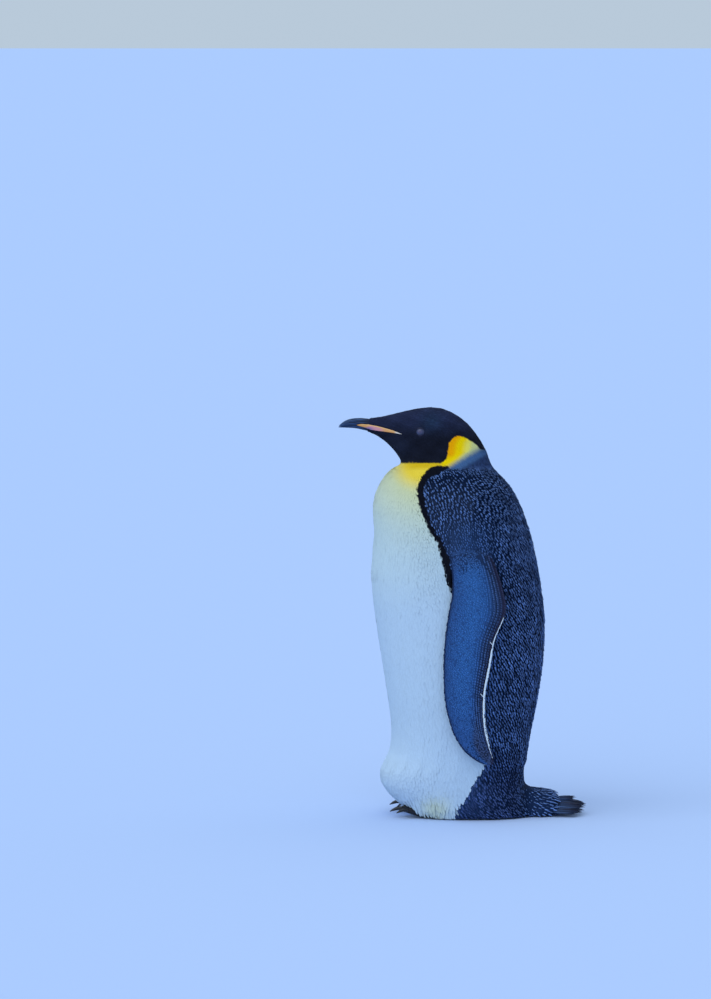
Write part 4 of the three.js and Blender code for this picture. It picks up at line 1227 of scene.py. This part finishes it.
def lid_material():
    """Bare skin with pores."""
    material, tree, shader = new_material("eyelid", 0.7, 0.15)
    feed(tree, shader.inputs["Base Color"], attribute(tree, "tint"))
    pores = add_node(tree, "ShaderNodeTexVoronoi", {"Scale": 1500.0, "Vector": on_piece(tree)})
    add_relief(tree, shader, pores.outputs["Distance"], 0.5, 0.0003)
    return material


def polar_mesh(name, middle, axis, forward, rings, closed):
    """A surface of rings round an axis. Each ring is a list of (forward, up, out) points."""
    up = np.cross(forward, axis)
    points = [middle + f * forward + u * up + o * axis for ring in rings for f, u, o in ring]
    return solid_mesh(name, points, ring_faces(len(rings), len(rings[0]), closed))


def ball_rings(hand):
    """Rings of the ball from its front pole back, and how far out in the iris each point is, up to 1."""
    rings, gaze = [], []
    for k in range(1, BALL_RINGS):
        lean = math.pi * k / BALL_RINGS
        radius, height = EYE_RADIUS * math.sin(lean), EYE_RADIUS * math.cos(lean)
        turns = np.linspace(0, 2 * math.pi, BALL_ROUND, endpoint=False)
        rings.append([(radius * math.cos(turn), radius * math.sin(turn), height) for turn in turns])
        for f, u, _ in rings[-1]:
            out = math.hypot(f / IRIS_WIDE, (u * hand + IRIS_LOW) / IRIS_HIGH)
            gaze.append(min(out, 1.0) if lean < math.pi / 2 else 1.0)
    return rings, gaze


def lid_ring(share, ground, hand):
    """One ring of the lids and its colours. share goes from 0 at their opening to 1 at their outer edge,
    and below 0 they turn in over the ball."""
    ring, colours = [], []
    for turn in np.linspace(0, 2 * math.pi, LID_ROUND, endpoint=False):
        c, u = math.cos(turn), math.sin(turn) * hand
        wide, bend = (0.0105, 1.9) if c > 0 else (0.0120, 1.6)
        high = 0.0080 if u > 0 else 0.0092
        opening = ((abs(c) / wide) ** bend + (abs(u) / high) ** bend) ** (-1 / bend)
        r = opening + max(share, 0) * (LID_OUTER - opening)
        on_ball = math.sqrt(max(LID_RADIUS ** 2 - min(r, 0.0112) ** 2, 0))
        on_skin = ground + 0.0016 - 0.0036 * (max(r - 0.0105, 0) / 0.0045)
        mix = float(step(0.0098, 0.0126, r))
        height = on_ball * (1 - mix) + on_skin * mix
        if share < 0:
            height -= 0.0011
            r += 0.0002
        elif share < 0.1:
            height += 0.00035 * math.sin(math.pi * (share / 0.1 + 0.15))
        ring.append((r * c, r * math.sin(turn), height))
        lens = math.hypot(r * c / 0.0148, r * u / (0.0108 if u > 0 else 0.0124))
        pale = float(step(1.08, 0.62, lens))
        rim = math.exp(-((share - 0.03) / 0.05) ** 2)
        lip = UPPER_LIP if u > 0 else LOWER_LIP
        colours.append((LID_SKIN * (1 - pale) + LID_PALE * pale) * (1 - rim) + lip * rim)
    return ring, colours


eye_glass, lid_skin = eye_material(), lid_material()
skin_spots, skin_facings = points_of(skin.data), normals_of(skin.data)
for node in EYES:
    middle = np.mean(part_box(node), axis=0)
    apart = np.linalg.norm(skin_spots - middle, axis=1)
    about = (apart > 0.014) & (apart < 0.022)
    axis = skin_facings[about].mean(axis=0)
    axis /= np.linalg.norm(axis)
    ground = float(((skin_spots[about] - middle) @ axis).mean())
    forward = np.array([-1.0, 0.0, 0.0])
    forward -= (forward @ axis) * axis
    forward /= np.linalg.norm(forward)
    hand = -1 if middle[1] > 0 else 1
    rings, gaze = ball_rings(hand)
    ball = new_object(f"{node}_ball", polar_mesh(f"{node}_ball", middle, axis, forward, rings, True))
    store(ball.data, "gaze", gaze)
    ball.data.materials.append(eye_glass)
    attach(ball, "root")
    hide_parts(node)

    rings, colours = zip(*(lid_ring(share, ground, hand) for share in LID_SHARES))
    lids = new_object(f"{node}_lids", polar_mesh(f"{node}_lids", middle, axis, forward, rings, False))
    store(lids.data, "tint", with_alpha(np.concatenate(colours)))
    lids.data.materials.append(lid_skin)
    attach(lids, "root")


# ---- Feet: three short thick toes in front of the ankle, in black scaly skin, mostly under the fold of the
# belly. Each toe ends in a strong black claw.
def foot_material():
    """Scales with fine wrinkles, which are duller and darker in places."""
    material, tree, shader = new_material("foot_skin", 0.65, 0.3)
    scales = add_node(tree, "ShaderNodeTexVoronoi", {"Scale": 300.0, "Vector": on_piece(tree)})
    noise = add_node(tree, "ShaderNodeTexNoise", {"Scale": 160.0, "Detail": 5.0, "Vector": on_piece(tree)})
    wrinkles = noise.outputs["Fac"]
    colour = colour_ramp(tree, wrinkles, (0.35, (0.006, 0.007, 0.011)), (0.7, (0.022, 0.022, 0.030)))
    feed(tree, shader.inputs["Base Color"], colour)
    vary_roughness(tree, shader, wrinkles, 0.5, 0.8)
    add_relief(tree, shader, scales.outputs["Distance"], 0.9, 0.0012)
    return material


foot_skin = foot_material()
claw_horn = horn_material("claw_horn", 0.38, 0.4, 0.15, 600.0, 0.0002)
for side_name in ("left", "right"):
    foot = fine_copy(f"foot_{side_name}_skin", f"foot_{side_name}", 0.0016, 4)
    spots = points_of(foot.data)
    spots[:, 2] = np.maximum(spots[:, 2], 0.0)
    move_points(foot.data, spots)
    foot.data.materials.append(foot_skin)
    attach(foot, "root")
    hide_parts(f"foot_{side_name}")
    for toe in ("inner", "middle", "outer"):
        node = f"claw_{toe}_{side_name}"
        claw = fine_copy(f"{node}_horn", node, 0.0008, 4)
        to_root = step(-0.160, -0.145, points_of(claw.data)[:, 0])
        store(claw.data, "tint", with_alpha(blend((0.020, 0.020, 0.026), (0.007, 0.008, 0.012), to_root)))
        claw.data.materials.append(claw_horn)
        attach(claw, "root")
        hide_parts(node)


# ---- Tail: stiff narrow quills stacked like a low roof and propping the bird. Each is a tapering shaft
# with barbs that split into worn strips of uneven length towards its end.
QUILL_ROOT = np.array((0.196, 0.0, 0.0445))
QUILL_LONG = 0.0865
QUILLS_PER_SIDE = 7
STRAY_QUILL = -1.4


def quill_material():
    """Keratin with the barbs as fine ridges across each strip."""
    material, tree, shader = new_material("tail_quill", 0.6, 0.25)
    parts = add_node(tree, "ShaderNodeSeparateXYZ", {"Vector": attribute(tree, "vane", "Vector")})
    ridges = maths(tree, "SINE", maths(tree, "MULTIPLY", parts.outputs["X"], 160.0))
    add_relief(tree, shader, ridges, 0.4, 0.0003)
    feed(tree, shader.inputs["Base Color"], attribute(tree, "tint"))
    return material


strip_vane = vane_mesh("strip_vane", [(0.30, 0.42), (0.62, 0.5), (0.88, 0.32)], 0.10, 0.10, 0.0)
strip_points = points_of(strip_vane)
strip_layout = read(strip_vane, "vane", 2)
strip_faces = [tuple(polygon.vertices) for polygon in strip_vane.polygons]
worn = np.random.default_rng(11)
points, faces, colours, layout = [], [], [], []
for place in (*range(-QUILLS_PER_SIDE, QUILLS_PER_SIDE + 1), STRAY_QUILL):
    out = abs(place) / QUILLS_PER_SIDE
    root = QUILL_ROOT + np.array((0.0, place * 0.0062, -0.0285 * out - 0.0015 * (place % 2)))
    long = QUILL_LONG * (1 - 0.10 * out ** 2) * worn.uniform(0.94, 1.02)
    fan = math.radians(5.0 * place / 4 + worn.uniform(-1.5, 1.5))
    fall = math.radians(14.0 * (1 - 0.9 * out) + worn.uniform(-2.0, 1.5))
    roll = -math.copysign(math.radians(48 * (1 - 0.35 * out)), place) if place else 0.0
    if place == STRAY_QUILL:
        root[2] = QUILL_ROOT[2] - 0.0065
        long, fan, fall = 0.063, 0.0, math.radians(-2.0)
    turned = Matrix.Rotation(fan, 3, "Z") @ Matrix.Rotation(fall, 3, "Y") @ Matrix.Rotation(roll, 3, "X")

    # The shaft and the strips of barbs, each as start, place across, end, width, thickness and splay.
    strips = [(0.0, 0.0, 1.0, 0.0022, 0.0016, 0.0)]
    for across in (-3, -2, -1, 1, 2, 3):
        start = worn.uniform(0.0, 0.1)
        end = 1 - 0.035 * abs(across) + worn.uniform(-0.12, 0.02)
        strips.append((start, across * 0.0019, end, 0.0044, 0.0012, across * worn.uniform(0.25, 1.0)))
    for start, across, end, wide, thick, splay in strips:
        strip = strip_points * np.array((long * (end - start), wide, thick * 5))
        strip[:, 1] += strip[:, 0] * math.sin(math.radians(splay))
        if place == STRAY_QUILL:
            across *= 0.5
        strip += np.array((long * start, across, 0.0))
        strip = strip @ np.array(turned).T + root
        strip[:, 2] = np.maximum(strip[:, 2], 0.0006)
        base = len(points)
        points += strip.tolist()
        faces += [tuple(base + v for v in polygon) for polygon in strip_faces]
        tone = worn.uniform(0.7, 1.35)
        # Blue towards the base of each strip, partly the blue of coverts over the quills and partly painted
        # highlight.
        bluish_coverts_and_highlight = worn.uniform(0.0, 1.0) ** 1.3 * (1 - strip_layout[:, 0])
        dark = blend((0.0095, 0.0180, 0.0500), (0.0150, 0.0150, 0.0340), worn.uniform(0.0, 1.0, 1))
        colours += (blend(dark, (0.060, 0.125, 0.290), np.minimum(bluish_coverts_and_highlight * 1.35, 1)) * tone).tolist()
        layout += strip_layout.tolist()
quills_mesh = bpy.data.meshes.new("tail_quills")
quills_mesh.from_pydata(points, [], faces)
quills_mesh.polygons.foreach_set("use_smooth", np.ones(len(quills_mesh.polygons), dtype=bool))
store(quills_mesh, "tint", with_alpha(np.array(colours)))
store(quills_mesh, "vane", layout)
quills = new_object("tail_quills", quills_mesh)
quills.data.materials.append(quill_material())
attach(quills, "root")
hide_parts("tail_feathers")


# ---- Floor and light: a plain pale floor under soft cool light from the front and above, with the room's
# own light all round.
FLOOR_SIZE = 600.0
floor_mesh = bpy.data.meshes.new("floor")
floor_mesh.from_pydata([(-FLOOR_SIZE, -FLOOR_SIZE, 0), (FLOOR_SIZE, -FLOOR_SIZE, 0),
    (FLOOR_SIZE, FLOOR_SIZE, 0), (-FLOOR_SIZE, FLOOR_SIZE, 0)], [], [(0, 1, 2, 3)])
floor = new_object("floor", floor_mesh)
floor_material, _, floor_shader = new_material("floor", 0.95, 0.0)
floor_shader.inputs["Base Color"].default_value = (0.495, 0.63, 0.92, 1)
floor.data.materials.append(floor_material)

world = bpy.data.worlds.new("studio")
bpy.context.scene.world = world
world.use_nodes = True
sky = world.node_tree.nodes["Background"]
sky.inputs["Color"].default_value = (0.69, 0.84, 1.0, 1)
sky.inputs["Strength"].default_value = 0.70


def soft_light(name, place, strength):
    """A very wide, even light from one side, aimed at the bird."""
    lamp = bpy.data.lights.new(name, "SUN")
    lamp.angle = math.radians(70)
    lamp.energy = strength
    lamp.color = (0.88, 0.94, 1.0)
    made = bpy.data.objects.new(name, lamp)
    made.location = place
    made.rotation_euler = (-Vector(place)).to_track_quat("-Z", "Y").to_euler()
    bpy.context.scene.collection.objects.link(made)


soft_light("key", (-3.0, -4.0, 4.6), 1.40)
soft_light("back", (3.0, 4.0, 5.0), 0.40)
bpy.context.scene.view_settings.view_transform = "Standard"
